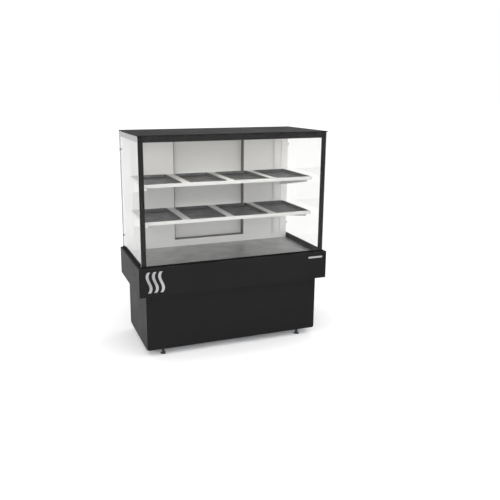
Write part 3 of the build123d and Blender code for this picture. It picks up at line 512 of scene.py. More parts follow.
@dataclass(frozen=True)
class Moulded(Finish):
    """Moulded plastic or rubber."""

    name: str
    colour: Colour
    shade: Colour
    roughness: float = 0.5
    specular: float = 0.4
    scale: float = 1500.0
    grain: float = 0.00005
    dust: float = 0.15

    def surface(self, graph: Graph) -> Socket:
        """Builds a fine spark-eroded grain with dust on top.

        Args:
            graph: The material's graph.

        Returns:
            The shader's output.
        """
        grain = GRAIN.use(graph, Scale=self.scale, Patch_Scale=30.0)
        dust = DUST.use(graph, Amount=self.dust, Scale=40.0)
        base = graph.mix(grain.outputs["Tone"], self.colour, self.shade)
        rough = (self.roughness - 0.06, self.roughness + 0.08)
        inputs = {
            "Base Color": graph.mix(dust.outputs["Mask"], base, (0.35, 0.34, 0.33)),
            "Roughness": graph.spread(grain.outputs["Height"], 0.3, 0.7, rough),
            "Specular IOR Level": self.specular,
            "Normal": self.bump(graph, grain.outputs["Height"], self.grain),
        }
        return graph.node("ShaderNodeBsdfPrincipled", inputs).outputs[0]


@dataclass(frozen=True)
class Enamel(Finish):
    """Dark non-stick enamel with pale flecks, as on baking trays."""

    name: str
    colour: Colour
    fleck: Colour
    roughness: float = 0.32
    density: float = 900.0

    def surface(self, graph: Graph) -> Socket:
        """Builds enamel whose flecks come from the cells of a noise.

        Args:
            graph: The material's graph.

        Returns:
            The shader's output.
        """
        grain = GRAIN.use(graph, Scale=500.0, Patch_Scale=14.0)
        wear = EDGE_WEAR.use(graph, Radius=0.001, Amount=0.35, Scale=150.0)
        place = graph.node("ShaderNodeTexCoord").outputs["Object"]
        cells = graph.node("ShaderNodeTexVoronoi", {"Vector": place, "Scale": self.density})
        flecks = graph.spread(cells.outputs["Distance"], 0.16, 0.06)
        speckled = graph.mix(flecks, self.colour, self.fleck)
        inputs = {
            "Base Color": graph.mix(wear.outputs["Mask"], speckled, (0.3, 0.3, 0.3)),
            "Roughness": graph.spread(grain.outputs["Tone"], 0, 1, (self.roughness, self.roughness + 0.16)),
            "Specular IOR Level": 0.5,
            "Normal": self.bump(graph, grain.outputs["Height"], 0.00006),
        }
        return graph.node("ShaderNodeBsdfPrincipled", inputs).outputs[0]


@dataclass(frozen=True)
class ClearGlass(Finish):
    """Clear float glass: see-through head on and a mirror at a glancing angle."""

    name: str
    tint: Colour = (0.99, 0.99, 0.986)
    mirror: Colour = (0.82, 0.82, 0.82)
    head_on: float = 0.02
    glancing: float = 0.96
    sharpness: float = 2.8

    def surface(self, graph: Graph) -> Socket:
        """Builds a clear shader and a mirror, mixed by the angle of view on the side where light enters.

        Args:
            graph: The material's graph.

        Returns:
            The shader's output.
        """
        facing = graph.node("ShaderNodeLayerWeight", {"Blend": 0.5}).outputs["Facing"]
        rise = graph.math("POWER", facing, self.sharpness)
        whole = graph.math("MULTIPLY_ADD", rise, self.glancing, self.head_on)
        leaving = graph.node("ShaderNodeNewGeometry").outputs["Backfacing"]
        share = graph.math("MULTIPLY", whole, graph.math("SUBTRACT", 1.0, leaving))
        clear = graph.node("ShaderNodeBsdfTransparent", {"Color": rgba(self.tint)}).outputs[0]
        grain = GRAIN.use(graph, Scale=3.0, Patch_Scale=9.0)
        gloss = graph.spread(grain.outputs["Tone"], 0, 1, (0.015, 0.05))
        inputs = {"Color": rgba(self.mirror), "Roughness": gloss}
        mirror = graph.node("ShaderNodeBsdfGlossy", inputs).outputs[0]
        return graph.node("ShaderNodeMixShader", {0: share, 1: clear, 2: mirror}).outputs[0]


@dataclass(frozen=True)
class GlassEdge(Finish):
    """The ground edge of a pane, pale and slightly green."""

    name: str
    colour: Colour = (0.62, 0.68, 0.66)
    deep: Colour = (0.42, 0.5, 0.48)

    def surface(self, graph: Graph) -> Socket:
        """Builds a polished edge with a faint change of tone along it.

        Args:
            graph: The material's graph.

        Returns:
            The shader's output.
        """
        grain = GRAIN.use(graph, Scale=2200.0, Patch_Scale=5.0)
        inputs = {
            "Base Color": graph.mix(grain.outputs["Tone"], self.colour, self.deep),
            "Roughness": graph.spread(grain.outputs["Height"], 0.3, 0.7, (0.12, 0.3)),
            "Normal": self.bump(graph, grain.outputs["Height"], 0.00002),
        }
        return graph.node("ShaderNodeBsdfPrincipled", inputs).outputs[0]


@dataclass(frozen=True)
class LampLens(Finish):
    """The frosted, lit lens of the light."""

    name: str
    colour: Colour = (1.0, 0.985, 0.96)
    strength: float = 18.5

    def surface(self, graph: Graph) -> Socket:
        """Builds a lens that glows in even patches along its length.

        Args:
            graph: The material's graph.

        Returns:
            The shader's output.
        """
        grain = GRAIN.use(graph, Scale=60.0, Patch_Scale=4.0)
        inputs = {
            "Base Color": graph.mix(grain.outputs["Tone"], (0.9, 0.9, 0.88), (0.82, 0.82, 0.8)),
            "Roughness": graph.spread(grain.outputs["Height"], 0.3, 0.7, (0.4, 0.55)),
            "Emission Color": graph.mix(grain.outputs["Tone"], self.colour, (1.0, 0.96, 0.9)),
            "Emission Strength": self.strength,
            "Normal": self.bump(graph, grain.outputs["Height"], 0.00005),
        }
        return graph.node("ShaderNodeBsdfPrincipled", inputs).outputs[0]


@dataclass(frozen=True)
class Wool(Finish):
    """Pressed mineral wool."""

    name: str
    colour: Colour
    shade: Colour

    def surface(self, graph: Graph) -> Socket:
        """Builds matted fibres that lie mostly along the slab.

        Args:
            graph: The material's graph.

        Returns:
            The shader's output.
        """
        fibres = BRUSHING.use(graph, Stretch=(40.0, 160.0, 260.0), Scale=3.0)
        inputs = {
            "Base Color": graph.mix(fibres.outputs["Height"], self.colour, self.shade),
            "Roughness": graph.spread(fibres.outputs["Tone"], 0, 1, (0.85, 1.0)),
            "Normal": self.bump(graph, fibres.outputs["Height"], 0.0012),
        }
        return graph.node("ShaderNodeBsdfPrincipled", inputs).outputs[0]


class Palette:
    """Every finish, by the record's slot, and the few that only detail pieces use."""

    ink = Moulded("dial_ink", (0.75, 0.75, 0.73), (0.66, 0.66, 0.65), 0.5, grain=0.00001, dust=0.02)
    dark_ink = Moulded("dark_ink", (0.02, 0.02, 0.02), (0.03, 0.03, 0.03), 0.5, grain=0.00001)
    dial_face = Moulded("dial_face", (0.8, 0.8, 0.78), (0.74, 0.74, 0.72), 0.45, grain=0.00001)
    red_ink = Moulded("needle_red", (0.6, 0.03, 0.02), (0.5, 0.03, 0.02), 0.4, grain=0.00001)
    # Painted shade, partly: the opening's liner is dark to stand for the shade inside the reveal, as well as its
    # dark gasket.
    painted_shade_liner = Moulded("jamb_liner_painted_shade", (0.16, 0.16, 0.158), (0.14, 0.14, 0.138), 0.5, 0.35)
    # Light grey for the upper glass channels: partly a trim colour, partly a painted sheen for the glancing
    # reflection on these black channels.
    edge_trim_painted_sheen = Moulded("edge_trim_painted_sheen", (0.36, 0.37, 0.365), (0.31, 0.32, 0.315), 0.4, dust=0.0)
    dark_screw = Moulded("dark_screw", (0.004, 0.004, 0.004), (0.006, 0.006, 0.006), 0.6, 0.0, dust=0.0)
    glass_edge = GlassEdge("glass_edge")
    black = PowderCoat("black_powder", (0.0092, 0.0092, 0.0094), (0.0078, 0.0078, 0.008))
    # Painted highlight: a lighter copy of the black paint for faces turned to the side, standing in for the light
    # and sheen that fall on them.
    black_painted_highlight = PowderCoat(
        "black_powder_painted_highlight", (0.0155, 0.0155, 0.0158), (0.013, 0.013, 0.0133), specular=0.12
    )

    finishes: dict[Slot, Finish] = {
        Slot.BLACK_PAINT: black,
        Slot.BLACK_PAINTED_HIGHLIGHT: black_painted_highlight,
        Slot.ZINC: BrushedMetal(
            "zinc_plate", (0.5, 0.51, 0.53), (0.4, 0.41, 0.43), 0.38, 0.2, (60.0, 60.0, 60.0)
        ),
        Slot.STAINLESS: BrushedMetal("brushed_stainless", (0.52, 0.52, 0.52), (0.4, 0.4, 0.41), 0.36),
        Slot.WHITE_PAINT: PowderCoat(
            "white_powder",
            (0.83, 0.825, 0.82),
            (0.8, 0.797, 0.79),
            0.42,
            0.4,
            worn=(0.5, 0.5, 0.5),
            dust=0.03,
        ),
        Slot.SHELF_PAINT: PowderCoat(
            "shelf_powder",
            (0.56, 0.565, 0.56),
            (0.52, 0.525, 0.52),
            0.38,
            0.4,
            worn=(0.5, 0.5, 0.5),
            dust=0.05,
        ),
        Slot.ENAMEL: Enamel("tray_enamel", (0.06, 0.06, 0.064), (0.16, 0.16, 0.16)),
        Slot.GLASS: ClearGlass("clear_glass"),
        Slot.PRINT: Moulded(
            "black_band", (0.006, 0.006, 0.006), (0.005, 0.005, 0.005), 0.4, 0.05, grain=0.00001, dust=0.0
        ),
        Slot.RUBBER: Moulded(
            "black_rubber", (0.004, 0.004, 0.004), (0.006, 0.006, 0.006), 0.65, 0.1, dust=0.02
        ),
        Slot.FOOT: Moulded("foot_plastic", (0.016, 0.016, 0.016), (0.022, 0.022, 0.022), 0.5),
        Slot.INSULATION: Wool("mineral_wool", (0.72, 0.66, 0.42), (0.5, 0.45, 0.27)),
        Slot.HEATER: BrushedMetal(
            "heater_sheath", (0.32, 0.29, 0.26), (0.2, 0.17, 0.16), 0.4, 0.2, (30.0, 90.0, 90.0)
        ),
        Slot.PLASTIC: Moulded("black_plastic", (0.02, 0.02, 0.021), (0.026, 0.026, 0.027), 0.45),
        Slot.KNOB: Moulded("knob_plastic", (0.014, 0.014, 0.015), (0.02, 0.02, 0.021), 0.28, 0.5, dust=0.05),
        Slot.ROCKER: Moulded("red_rocker", (0.55, 0.02, 0.015), (0.45, 0.018, 0.012), 0.25, 0.5, dust=0.03),
        Slot.LENS: LampLens("lamp_lens"),
        Slot.BRIGHT: BrushedMetal(
            "bright_metal", (0.42, 0.42, 0.43), (0.3, 0.3, 0.31), 0.22, 0.12, (300.0, 300.0, 6.0)
        ),
        Slot.DIAL: BrushedMetal(
            "bezel_metal", (0.72, 0.72, 0.73), (0.6, 0.6, 0.61), 0.16, 0.1, (200.0, 200.0, 200.0)
        ),
    }

    def paint(self, thing: bpy.types.Object, finish: Finish) -> None:
        """Gives an object one finish.

        Args:
            thing: The object.
            finish: Its finish.
        """
        material = finish.material()
        if not thing.material_slots:
            thing.data.materials.append(material)
        for place in thing.material_slots:
            place.material = material

    def repaint(self, name: str, finish: Finish, chosen: Callable[[Vector, Vector], bool]) -> None:
        """Gives some faces of a CAD node another finish.

        Args:
            name: The CAD node.
            finish: The other finish.
            chosen: Says from a face's middle and normal whether it gets that finish.
        """
        node = FRAME["nodes"][name]
        node.data.materials.append(finish.material())
        number = len(node.material_slots) - 1
        for face in node.data.polygons:
            if chosen(face.center, face.normal):
                face.material_index = number

    def dress_frame(self) -> None:
        """Gives every CAD node the finish that the record names for it."""
        for part in FRAME["record"]["subparts"]:
            slot = Slot(part["material_slot"])
            self.paint(FRAME["nodes"][part["node"]], self.finishes[slot])
            LOG.info("node %s: %s", part["node"], slot.value)


PALETTE = Palette()


# ---- making meshes -------------------------------------------------------------------
class Mesh:
    """One piece's mesh while it is made."""

    def __init__(self) -> None:
        """Starts an empty mesh."""
        self.shape = bmesh.new()

    def loft(self, loops: Sequence[Loop], capped: bool = True, ring: bool = False, ink: int = 0) -> None:
        """Skins a row of loops.

        Args:
            loops: Loops with the same number of points, in order.
            capped: Whether the first and last loop are filled in.
            ring: Whether the last loop joins the first one.
            ink: The material's number on the new faces.
        """
        rows = [[self.shape.verts.new(point) for point in loop] for loop in loops]
        pairs = list(zip(rows, rows[1:])) + ([(rows[-1], rows[0])] if ring else [])
        made = []
        for low, high in pairs:
            for index in range(len(low)):
                after = (index + 1) % len(low)
                made.append(self.shape.faces.new((low[index], low[after], high[after], high[index])))
        if capped and not ring:
            made.append(self.shape.faces.new(reversed(rows[0])))
            made.append(self.shape.faces.new(rows[-1]))
        for face in made:
            face.material_index = ink

    def turn(
        self,
        profile: Sequence[tuple[float, float]],
        frame: Matrix,
        steps: int = 40,
        shape: Callable[[float], float] | None = None,
        ring: bool = False,
        ink: int = 0,
    ) -> None:
        """Turns a profile about local Z, as on a lathe.

        Args:
            profile: Radius and height of each ring, from the bottom up.
            frame: Where local Z stands.
            steps: Points in each ring.
            shape: Gives a share of the radius from the angle, for ribs and flats.
            ring: Whether the profile closes on itself, as in a tube.
            ink: The material's number on the new faces.
        """
        loops = [circle(frame, radius, height, steps, shape) for radius, height in profile]
        self.loft(loops, capped=not ring, ring=ring, ink=ink)

    def slab(
        self, low: Sequence[float], high: Sequence[float], round_by: float, axis: int = 2, ink: int = 0
    ) -> None:
        """Adds a flat plate with rounded corners and softened edges.

        Args:
            low: Its lowest corner.
            high: Its highest corner.
            round_by: The radius of its four corners.
            axis: The number of the axis that it is thin along.
            ink: The material's number on the new faces.
        """
        first, second = (axis + 1) % 3, (axis + 2) % 3
        soft = min(0.35 * (high[axis] - low[axis]), 0.0012)
        levels = [(soft, low[axis]), (0.0, low[axis] + soft), (0.0, high[axis] - soft), (soft, high[axis])]
        middle = [(a + b) / 2 for a, b in zip(low, high)]
        loops = []
        for inset, level in levels:
            width = high[first] - low[first] - 2 * inset
            depth = high[second] - low[second] - 2 * inset
            loop = []
            for across, along in rounded_rectangle(width, depth, max(round_by - inset, 0.0002)):
                point = [0.0, 0.0, 0.0]
                point[first] = middle[first] + across
                point[second] = middle[second] + along
                point[axis] = level
                loop.append(Vector(point))
            loops.append(loop)
        self.loft(loops, ink=ink)

    def bar(self, frame: Matrix, turn: float, span: tuple[float, float], width: float, ink: int = 0) -> None:
        """Adds one printed bar of a scale, pointing away from the scale's centre.

        Args:
            frame: The scale's centre, with local Z out of the surface and local Y up.
            turn: The bar's place, clockwise from local Y, in degrees.
            span: The radii where it starts and ends.
            width: Its width.
            ink: The material's number on the new faces.
        """
        spin = frame @ Matrix.Rotation(-math.radians(turn), 4, "Z")
        half = width / 2
        corners = ((-half, span[0]), (half, span[0]), (half, span[1]), (-half, span[1]))
        levels = (-0.0001, 0.0001, 0.00015)
        loops = []
        for level in levels:
            inset = 0.9 if level == levels[-1] else 1.0
            loops.append([spin @ Vector((x * inset, y, level)) for x, y in corners])
        self.loft(loops, ink=ink)

    def figures(self, text: str, frame: Matrix, size: float, ink: int = 0) -> None:
        """Adds printed figures, as on a dial.

        Args:
            text: The figures.
            frame: Their middle, with local Z out of the surface and local Y up.
            size: Their height.
            ink: The material's number on the new faces.
        """
        curve = bpy.data.curves.new("figures", "FONT")
        curve.body = text
        curve.size = size
        curve.extrude = 0.0001
        curve.align_x = "CENTER"
        curve.align_y = "CENTER"
        lettering = bpy.data.objects.new("figures", curve)
        data = bpy.data.meshes.new_from_object(lettering)
        data.transform(frame)
        count = len(self.shape.faces)
        self.shape.from_mesh(data)
        self.shape.faces.ensure_lookup_table()
        for face in self.shape.faces[count:]:
            face.material_index = ink
        bpy.data.objects.remove(lettering)
        bpy.data.curves.remove(curve)
        bpy.data.meshes.remove(data)

    def tidy(self) -> None:
        """Welds doubled points and turns every face outwards."""
        bmesh.ops.remove_doubles(self.shape, verts=self.shape.verts, dist=1e-6)
        bmesh.ops.recalc_face_normals(self.shape, faces=self.shape.faces)

    def piece(
        self,
        name: str,
        body: Body,
        slot: Slot,
        finishes: Sequence[Finish] = (),
        stands_for: Sequence[str] = (),
        crease: float = 35.0,
    ) -> bpy.types.Object:
        """Makes the finished piece.

        Args:
            name: Its name.
            body: The body that it rides on.
            slot: The record's slot that its main finish comes from.
            finishes: Its finishes in the order of their numbers, or none for the slot's own.
            stands_for: The CAD nodes that it replaces.
            crease: Edges sharper than this many degrees stay sharp.

        Returns:
            The piece.
        """
        self.tidy()
        data = bpy.data.meshes.new(name)
        self.shape.to_mesh(data)
        self.shape.free()
        for face in data.polygons:
            face.use_smooth = True
        data.set_sharp_from_angle(angle=math.radians(crease))
        for finish in finishes or (PALETTE.finishes[slot],):
            data.materials.append(finish.material())
        made = bpy.data.objects.new(name, data)
        bpy.context.scene.collection.objects.link(made)
        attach(made, body.value)
        if stands_for:
            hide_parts(*stands_for)
        LOG.info("piece %s: %d faces, rides on %s", name, len(data.polygons), body.value)
        return made


def rounded_rectangle(width: float, depth: float, radius: float, steps: int = 5) -> list[tuple[float, float]]:
    """Gives the points of a rectangle with round corners, counterclockwise.

    Args:
        width: Its size across.
        depth: Its size along.
        radius: The corners' radius.
        steps: Spans in each corner's arc.

    Returns:
        The points, centred on the origin.
    """
    points = []
    for corner, (side, end) in enumerate(((1, 1), (-1, 1), (-1, -1), (1, -1))):
        x = side * (width / 2 - radius)
        y = end * (depth / 2 - radius)
        for step in range(steps + 1):
            angle = math.pi / 2 * (corner + step / steps)
            points.append((x + radius * math.cos(angle), y + radius * math.sin(angle)))
    return points


def circle(
    frame: Matrix, radius: float, height: float, steps: int, shape: Callable[[float], float] | None = None
) -> Loop:
    """Gives a ring of points round local Z.

    Args:
        frame: Where local Z stands.
        radius: The ring's radius.
        height: Its height along local Z.
        steps: The number of points.
        shape: Gives a share of the radius from the angle, for ribs and flats.

    Returns:
        The points.
    """
    ring = []
    for index in range(steps):
        angle = math.tau * index / steps
        reach = radius * (shape(angle) if shape else 1.0)
        ring.append(frame @ Vector((reach * math.cos(angle), reach * math.sin(angle), height)))
    return ring


def hexagon(angle: float) -> float:
    """Gives a hexagon's reach at an angle, as a share of its corner radius."""
    return math.cos(math.pi / 6) / math.cos(angle % (math.pi / 3) - math.pi / 6)


def soften(names: Iterable[str], width: float, steps: int = 2) -> None:
    """Rounds the edges of CAD nodes with modifiers, which leave their meshes alone.

    Args:
        names: The nodes.
        width: How far back from the edge the rounding starts, in metres.
        steps: Faces across each rounded edge.
    """
    for name in names:
        node = FRAME["nodes"][name]
        weld = node.modifiers.new("join_faces", "WELD")
        weld.merge_threshold = 0.00001
        bevel = node.modifiers.new("soft_edges", "BEVEL")
        bevel.width = width
        bevel.segments = steps
        bevel.limit_method = "ANGLE"
        bevel.angle_limit = math.radians(35)
        bevel.use_clamp_overlap = True
        bevel.miter_outer = "MITER_ARC"
        normals = node.modifiers.new("flat_faces", "WEIGHTED_NORMAL")
        normals.keep_sharp = False
        normals.weight = 100


def hex_screw(mesh: Mesh, frame: Matrix, radius: float, height: float, shank: float, length: float) -> None:
    """Adds a button-headed screw with a hexagonal socket.

    Args:
        mesh: The mesh that it is added to.
        frame: Its seat, with local Z out of the surface.
        radius: The head's radius.
        height: The head's height.
        shank: The shank's radius.
        length: The shank's length below the seat.
    """
    steps, dome_steps = 36, 4
    rim, crown = math.radians(8), math.radians(70)
    outside = [(shank * 0.7, -length), (shank, -length + shank * 0.3), (shank, 0.0), (radius * 0.96, 0.0)]
    for step in range(dome_steps + 1):
        angle = rim + (crown - rim) * step / dome_steps
        outside.append((radius * math.cos(angle) ** 0.8, height * math.sin(angle) / math.sin(crown)))
    loops = [circle(frame, ring, level, steps) for ring, level in outside]
    for reach, level in ((0.53, 1.0), (0.5, 0.88), (0.5, 0.25)):
        loops.append(circle(frame, radius * reach, height * level, steps, hexagon))
    mesh.loft(loops)


def hex_nut(
    mesh: Mesh, frame: Matrix, radii: tuple[float, float], span: tuple[float, float], ink: int = 0
) -> None:
    """Adds a hexagonal nut with its corners turned off at both ends.

    Args:
        mesh: The mesh that it is added to.
        frame: Where local Z stands.
        radii: The radii of its bore and of its corners.
        span: Its lowest and highest height.
        ink: The material's number on the new faces.
    """
    bore, corner = radii
    low, high = span
    turned = corner * math.cos(math.pi / 6) * 0.97
    chamfer = corner * 0.1
    rings = [(bore, low, False), (turned, low, False), (corner, low + chamfer, True)]
    rings += [(corner, high - chamfer, True), (turned, high, False), (bore, high, False)]
    loops = [circle(frame, radius, level, 48, hexagon if flats else None) for radius, level, flats in rings]
    mesh.loft(loops, ring=True, ink=ink)


def frame_sweep(
    mesh: Mesh,
    low: tuple[float, float],
    high: tuple[float, float],
    profile: Sequence[tuple[float, float]],
    ink: int = 0,
) -> None:
    """Sweeps a closed profile round an upright rectangle, with mitred corners.

    Args:
        mesh: The mesh that it is added to.
        low: The rectangle's lowest X and Z.
        high: The rectangle's highest X and Z.
        profile: Points as (distance in from the rectangle, Y).
        ink: The material's number on the new faces.
    """
    loops = []
    for right, top in ((0, 0), (1, 0), (1, 1), (0, 1)):
        loop = []
        for inset, y in profile:
            x = high[0] - inset if right else low[0] + inset
            z = high[1] - inset if top else low[1] + inset
            loop.append(Vector((x, y, z)))
        loops.append(loop)
    mesh.loft(loops, ring=True, ink=ink)


# ---- sub-assemblies ------------------------------------------------------------------
@dataclass
class Plinth:
    """The base cabinet: softened sheet metal, pressed louvres and its fastened rear panel."""

    panels: tuple[str, ...] = ("plinth_front_panel", "plinth_side_panels")
    inner: tuple[str, ...] = ("base_floor_pan", "corner_posts")
    columns: int = 3
    rows: int = 9
    length: float = 0.150
    pitch: float = 0.014
    column_pitch: float = 0.230
    middle_height: float = 0.200
    reach: float = 0.005
    drop: float = 0.0085
    above: float = 0.55
    overrun: float = 0.003
    taper: float = 0.012
    wall: float = 0.0008
    spans: int = 16
    arc: int = 6

    def build(self) -> None:
        """Softens the sheets and adds the louvres."""
        soften(self.panels, width=0.0007)
        soften(self.inner, width=0.0005, steps=1)
        self.louvres()

    def louvres(self) -> None:
        """Makes the hood over each slot of the rear panel."""
        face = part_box("plinth_rear_panel")[1].y
        hoods = Mesh()
        for column in range(self.columns):
            x = (column - (self.columns - 1) / 2) * self.column_pitch
            for row in range(self.rows):
                z = self.middle_height + (row - (self.rows - 1) / 2) * self.pitch
                self.hood(hoods, Vector((x, face, z)))
        hoods.piece("plinth_louvre_hoods", Body.CABINET, Slot.BLACK_PAINT)

    def hood(self, mesh: Mesh, slot: Vector) -> None:
        """Adds one pressed hood, a thin curved shell that tapers at both ends.

        Args:
            mesh: The mesh that it is added to.
            slot: The middle of the slot, on the panel's face.
        """
        half = self.length / 2 + self.overrun
        least = 0.04
        loops = []
        for step in range(self.spans + 1):
            x = half * math.sin(math.pi * (step / self.spans - 0.5))
            near_end = max(0.0, abs(x) - (half - self.taper)) / self.taper
            swell = math.sqrt(max(0.0, 1 - near_end**2)) * (1 - least) + least
            loop = []
            for shell in (0.0, self.wall):
                turns = range(self.arc + 1)
                for turn in turns if shell == 0.0 else reversed(turns):
                    angle = math.pi / 2 * turn / self.arc
                    out = (self.reach - shell) * swell * math.sin(angle)
                    down = (self.drop - shell) * (1 - math.cos(angle))
                    loop.append(slot + Vector((x, out, self.drop * self.above - shell - down)))
            loops.append(loop)
        mesh.loft(loops)


@dataclass
class LevellingFoot:
    """One screw foot: a moulded pad, a plated nut and a threaded stud."""

    node: str
    pad: float = 0.018
    neck: float = 0.009
    nut: float = 0.011
    stud: float = 0.005
    bore: float = 0.0042
    nut_height: float = 0.008
    pitch: float = 0.00125
    thread_depth: float = 0.0007
    cone_height: float = 0.0085
    cone_steps: int = 6
    frame: Matrix = field(init=False)
    top: float = field(init=False)
    nut_top: float = field(init=False)

    def __post_init__(self) -> None:
        """Reads the foot's place from the frame."""
        low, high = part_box(self.node)
        middle = (low + high) / 2
        self.frame = Matrix.Translation((middle.x, middle.y, low.z))
        self.top = high.z - low.z
        self.nut_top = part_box("base_floor_pan")[0].z - 0.0004

    def build(self) -> None:
        """Makes the foot in place of its CAD node."""
        mesh = Mesh()
        self.moulding(mesh)
        nut_low = self.nut_top - self.nut_height
        hex_nut(mesh, self.frame, (self.bore, self.nut), (nut_low, self.nut_top), ink=1)
        self.threaded_stud(mesh)
        finishes = (PALETTE.finishes[Slot.FOOT], PALETTE.finishes[Slot.ZINC])
        name = self.node + "_detail"
        mesh.piece(name, Body(self.node), Slot.FOOT, finishes, (self.node,))

    def moulding(self, mesh: Mesh) -> None:
        """Adds the pad, with a rounded lip, a curved cone and a collar under the nut.

        Args:
            mesh: The mesh that it is added to.
        """
        top = self.nut_top - self.nut_height
        profile = [
            (self.pad - 0.0012, 0.0),
            (self.pad - 0.0002, 0.0006),
            (self.pad, 0.0016),
            (self.pad - 0.0002, 0.0032),
            (self.pad - 0.0012, 0.0042),
            (self.pad - 0.0022, 0.0044),
            (self.pad - 0.0026, 0.0050),
        ]
        foot_radius, foot_height = profile[-1]
        for step in range(1, self.cone_steps + 1):
            share = step / self.cone_steps
            sweep = 1 - math.sin(share * math.pi / 2) ** 0.8
            radius = self.neck + (foot_radius - self.neck) * sweep
            profile.append((radius, foot_height + self.cone_height * share))
        profile += [(self.neck, top - 0.0035), (self.neck + 0.0008, top - 0.0030), (self.neck + 0.0008, top)]
        mesh.turn(profile, self.frame, 48)

    def threaded_stud(self, mesh: Mesh) -> None:
        """Adds the stud, whose thread climbs by one pitch in each turn.

        Args:
            mesh: The mesh that it is added to.
        """
        steps, low = 24, self.nut_top
        count = int((self.top - low) / self.pitch * 2)
        loops = []
        for level in range(-1, count + 2):
            reach = self.stud - (self.thread_depth if level % 2 else 0.0001)
            loop = []
            for index in range(steps):
                turn = index / steps
                height = low + (level + 2 * turn) * self.pitch / 2
                height = min(max(height, low), self.top)
                angle = math.tau * turn
                loop.append(self.frame @ Vector((reach * math.cos(angle), reach * math.sin(angle), height)))
            loops.append(loop)
        self.climb(mesh, loops)

    def climb(self, mesh: Mesh, loops: Sequence[Loop]) -> None:
        """Skins the thread's loops, each of whose ends meets the loop two levels up.

        Args:
            mesh: The mesh that it is added to.
            loops: The loops, half a pitch apart.
        """
        rows = [[mesh.shape.verts.new(point) for point in loop] for loop in loops]
        for level in range(len(rows) - 3):
            row, above = rows[level], rows[level + 1]
            for index in range(len(row)):
                last = index + 1 == len(row)
                corner = rows[level + 2][0] if last else row[index + 1]
                far = rows[level + 3][0] if last else above[index + 1]
                if (row[index].co - above[index].co).length < 1e-7 and (corner.co - far.co).length < 1e-7:
                    continue
                face = mesh.shape.faces.new((row[index], corner, far, above[index]))
                face.material_index = 1
        root = circle(self.frame, self.stud - self.thread_depth, self.top, len(loops[0]))
        cap = mesh.shape.faces.new([mesh.shape.verts.new(point) for point in root])
        cap.material_index = 1


@dataclass
class FasciaBox:
    """The wide box under the glass: its plates, its screws, its emblem and its blank plate."""

    plates: tuple[str, ...] = ("front_fascia", "side_fascias", "fascia_floor", "ledge_frame")
    head: float = 0.0045
    head_height: float = 0.0016
    shank: float = 0.002
    length: float = 0.0075
    rear_length: float = 0.002
    drop: float = 0.063
    corner_inset: float = 0.030

    def build(self) -> None:
        """Softens the plates and badges, gives the ledge's left faces the lighter black of a painted highlight,
        and makes the screws.
        """
        # Painted highlight: the ledge's faces turned to the left get the lighter black, for the light that falls
        # on that side.
        PALETTE.repaint("ledge_frame", PALETTE.black_painted_highlight, lambda _, normal: normal.x < -0.5)
        soften(self.plates, width=0.0008)
        soften(("front_badges",), width=0.0008, steps=3)
        self.screws()

    def screws(self) -> None:
        """Makes every button-headed screw in the sides and the rear panel."""
        mesh = Mesh()
        low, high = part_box("panel_screws")
        y = low.y + self.head
        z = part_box("side_fascias")[1].z - self.drop
        for side, axis in ((high.x, Axis.RIGHT), (low.x, Axis.LEFT)):
            seat = side - math.copysign(self.head_height, side)
            hex_screw(mesh, axis.frame((seat, y, z)), self.head, self.head_height, self.shank, self.length)
        panel_low, panel_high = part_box("plinth_rear_panel")
        reach = panel_high.x - self.corner_inset
        for x in (-reach, 0.0, reach):
            for z in (panel_low.z + self.corner_inset, panel_high.z - self.corner_inset):
                seat = Axis.BACK.frame((x, panel_high.y, z))
                hex_screw(mesh, seat, self.head, self.head_height, self.shank, self.rear_length)
        mesh.piece("panel_screw_heads", Body.CABINET, Slot.PLASTIC, (PALETTE.dark_screw,), ("panel_screws",))


@dataclass
class HeatedDeck:
    """The stainless deck, and the pan, elements and insulation under it."""

    inner: tuple[str, ...] = ("deck_bearers", "element_pan")
    hairpin: float = 0.130
    bush: float = 0.0065
    bush_length: float = 0.0132
    pin: float = 0.002
    pin_length: float = 0.022

    def build(self) -> None:
        """Softens the deck and adds the elements' terminals."""
        soften(("deck_plate",), width=0.0005)
        soften(self.inner, width=0.0005, steps=1)
        self.terminals()

    def terminals(self) -> None:
        """Makes the ceramic bush and the pin at each end of the two elements."""
        low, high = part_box("heating_elements")
        rod = (high.z - low.z) / 2
        z = (low.z + high.z) / 2
        front, rear = low.y + rod, high.y - rod
        mesh = Mesh()
        for y in (front, front + self.hairpin, rear - self.hairpin, rear):
            seat = Axis.LEFT.frame((low.x, y, z))
            profile = [
                (rod, -0.004),
                (self.bush, -0.003),
                (self.bush, self.bush_length - 0.0011),
                (self.bush * 0.8, self.bush_length),
            ]
            mesh.turn(profile, seat, 24)
            pin = [(self.pin, self.pin_length / 2), (self.pin, self.pin_length)]
            mesh.turn(pin, seat, 16, ink=1)
        finishes = (PALETTE.dial_face, PALETTE.finishes[Slot.BRIGHT])
        mesh.piece("element_terminals", Body.CABINET, Slot.HEATER, finishes)


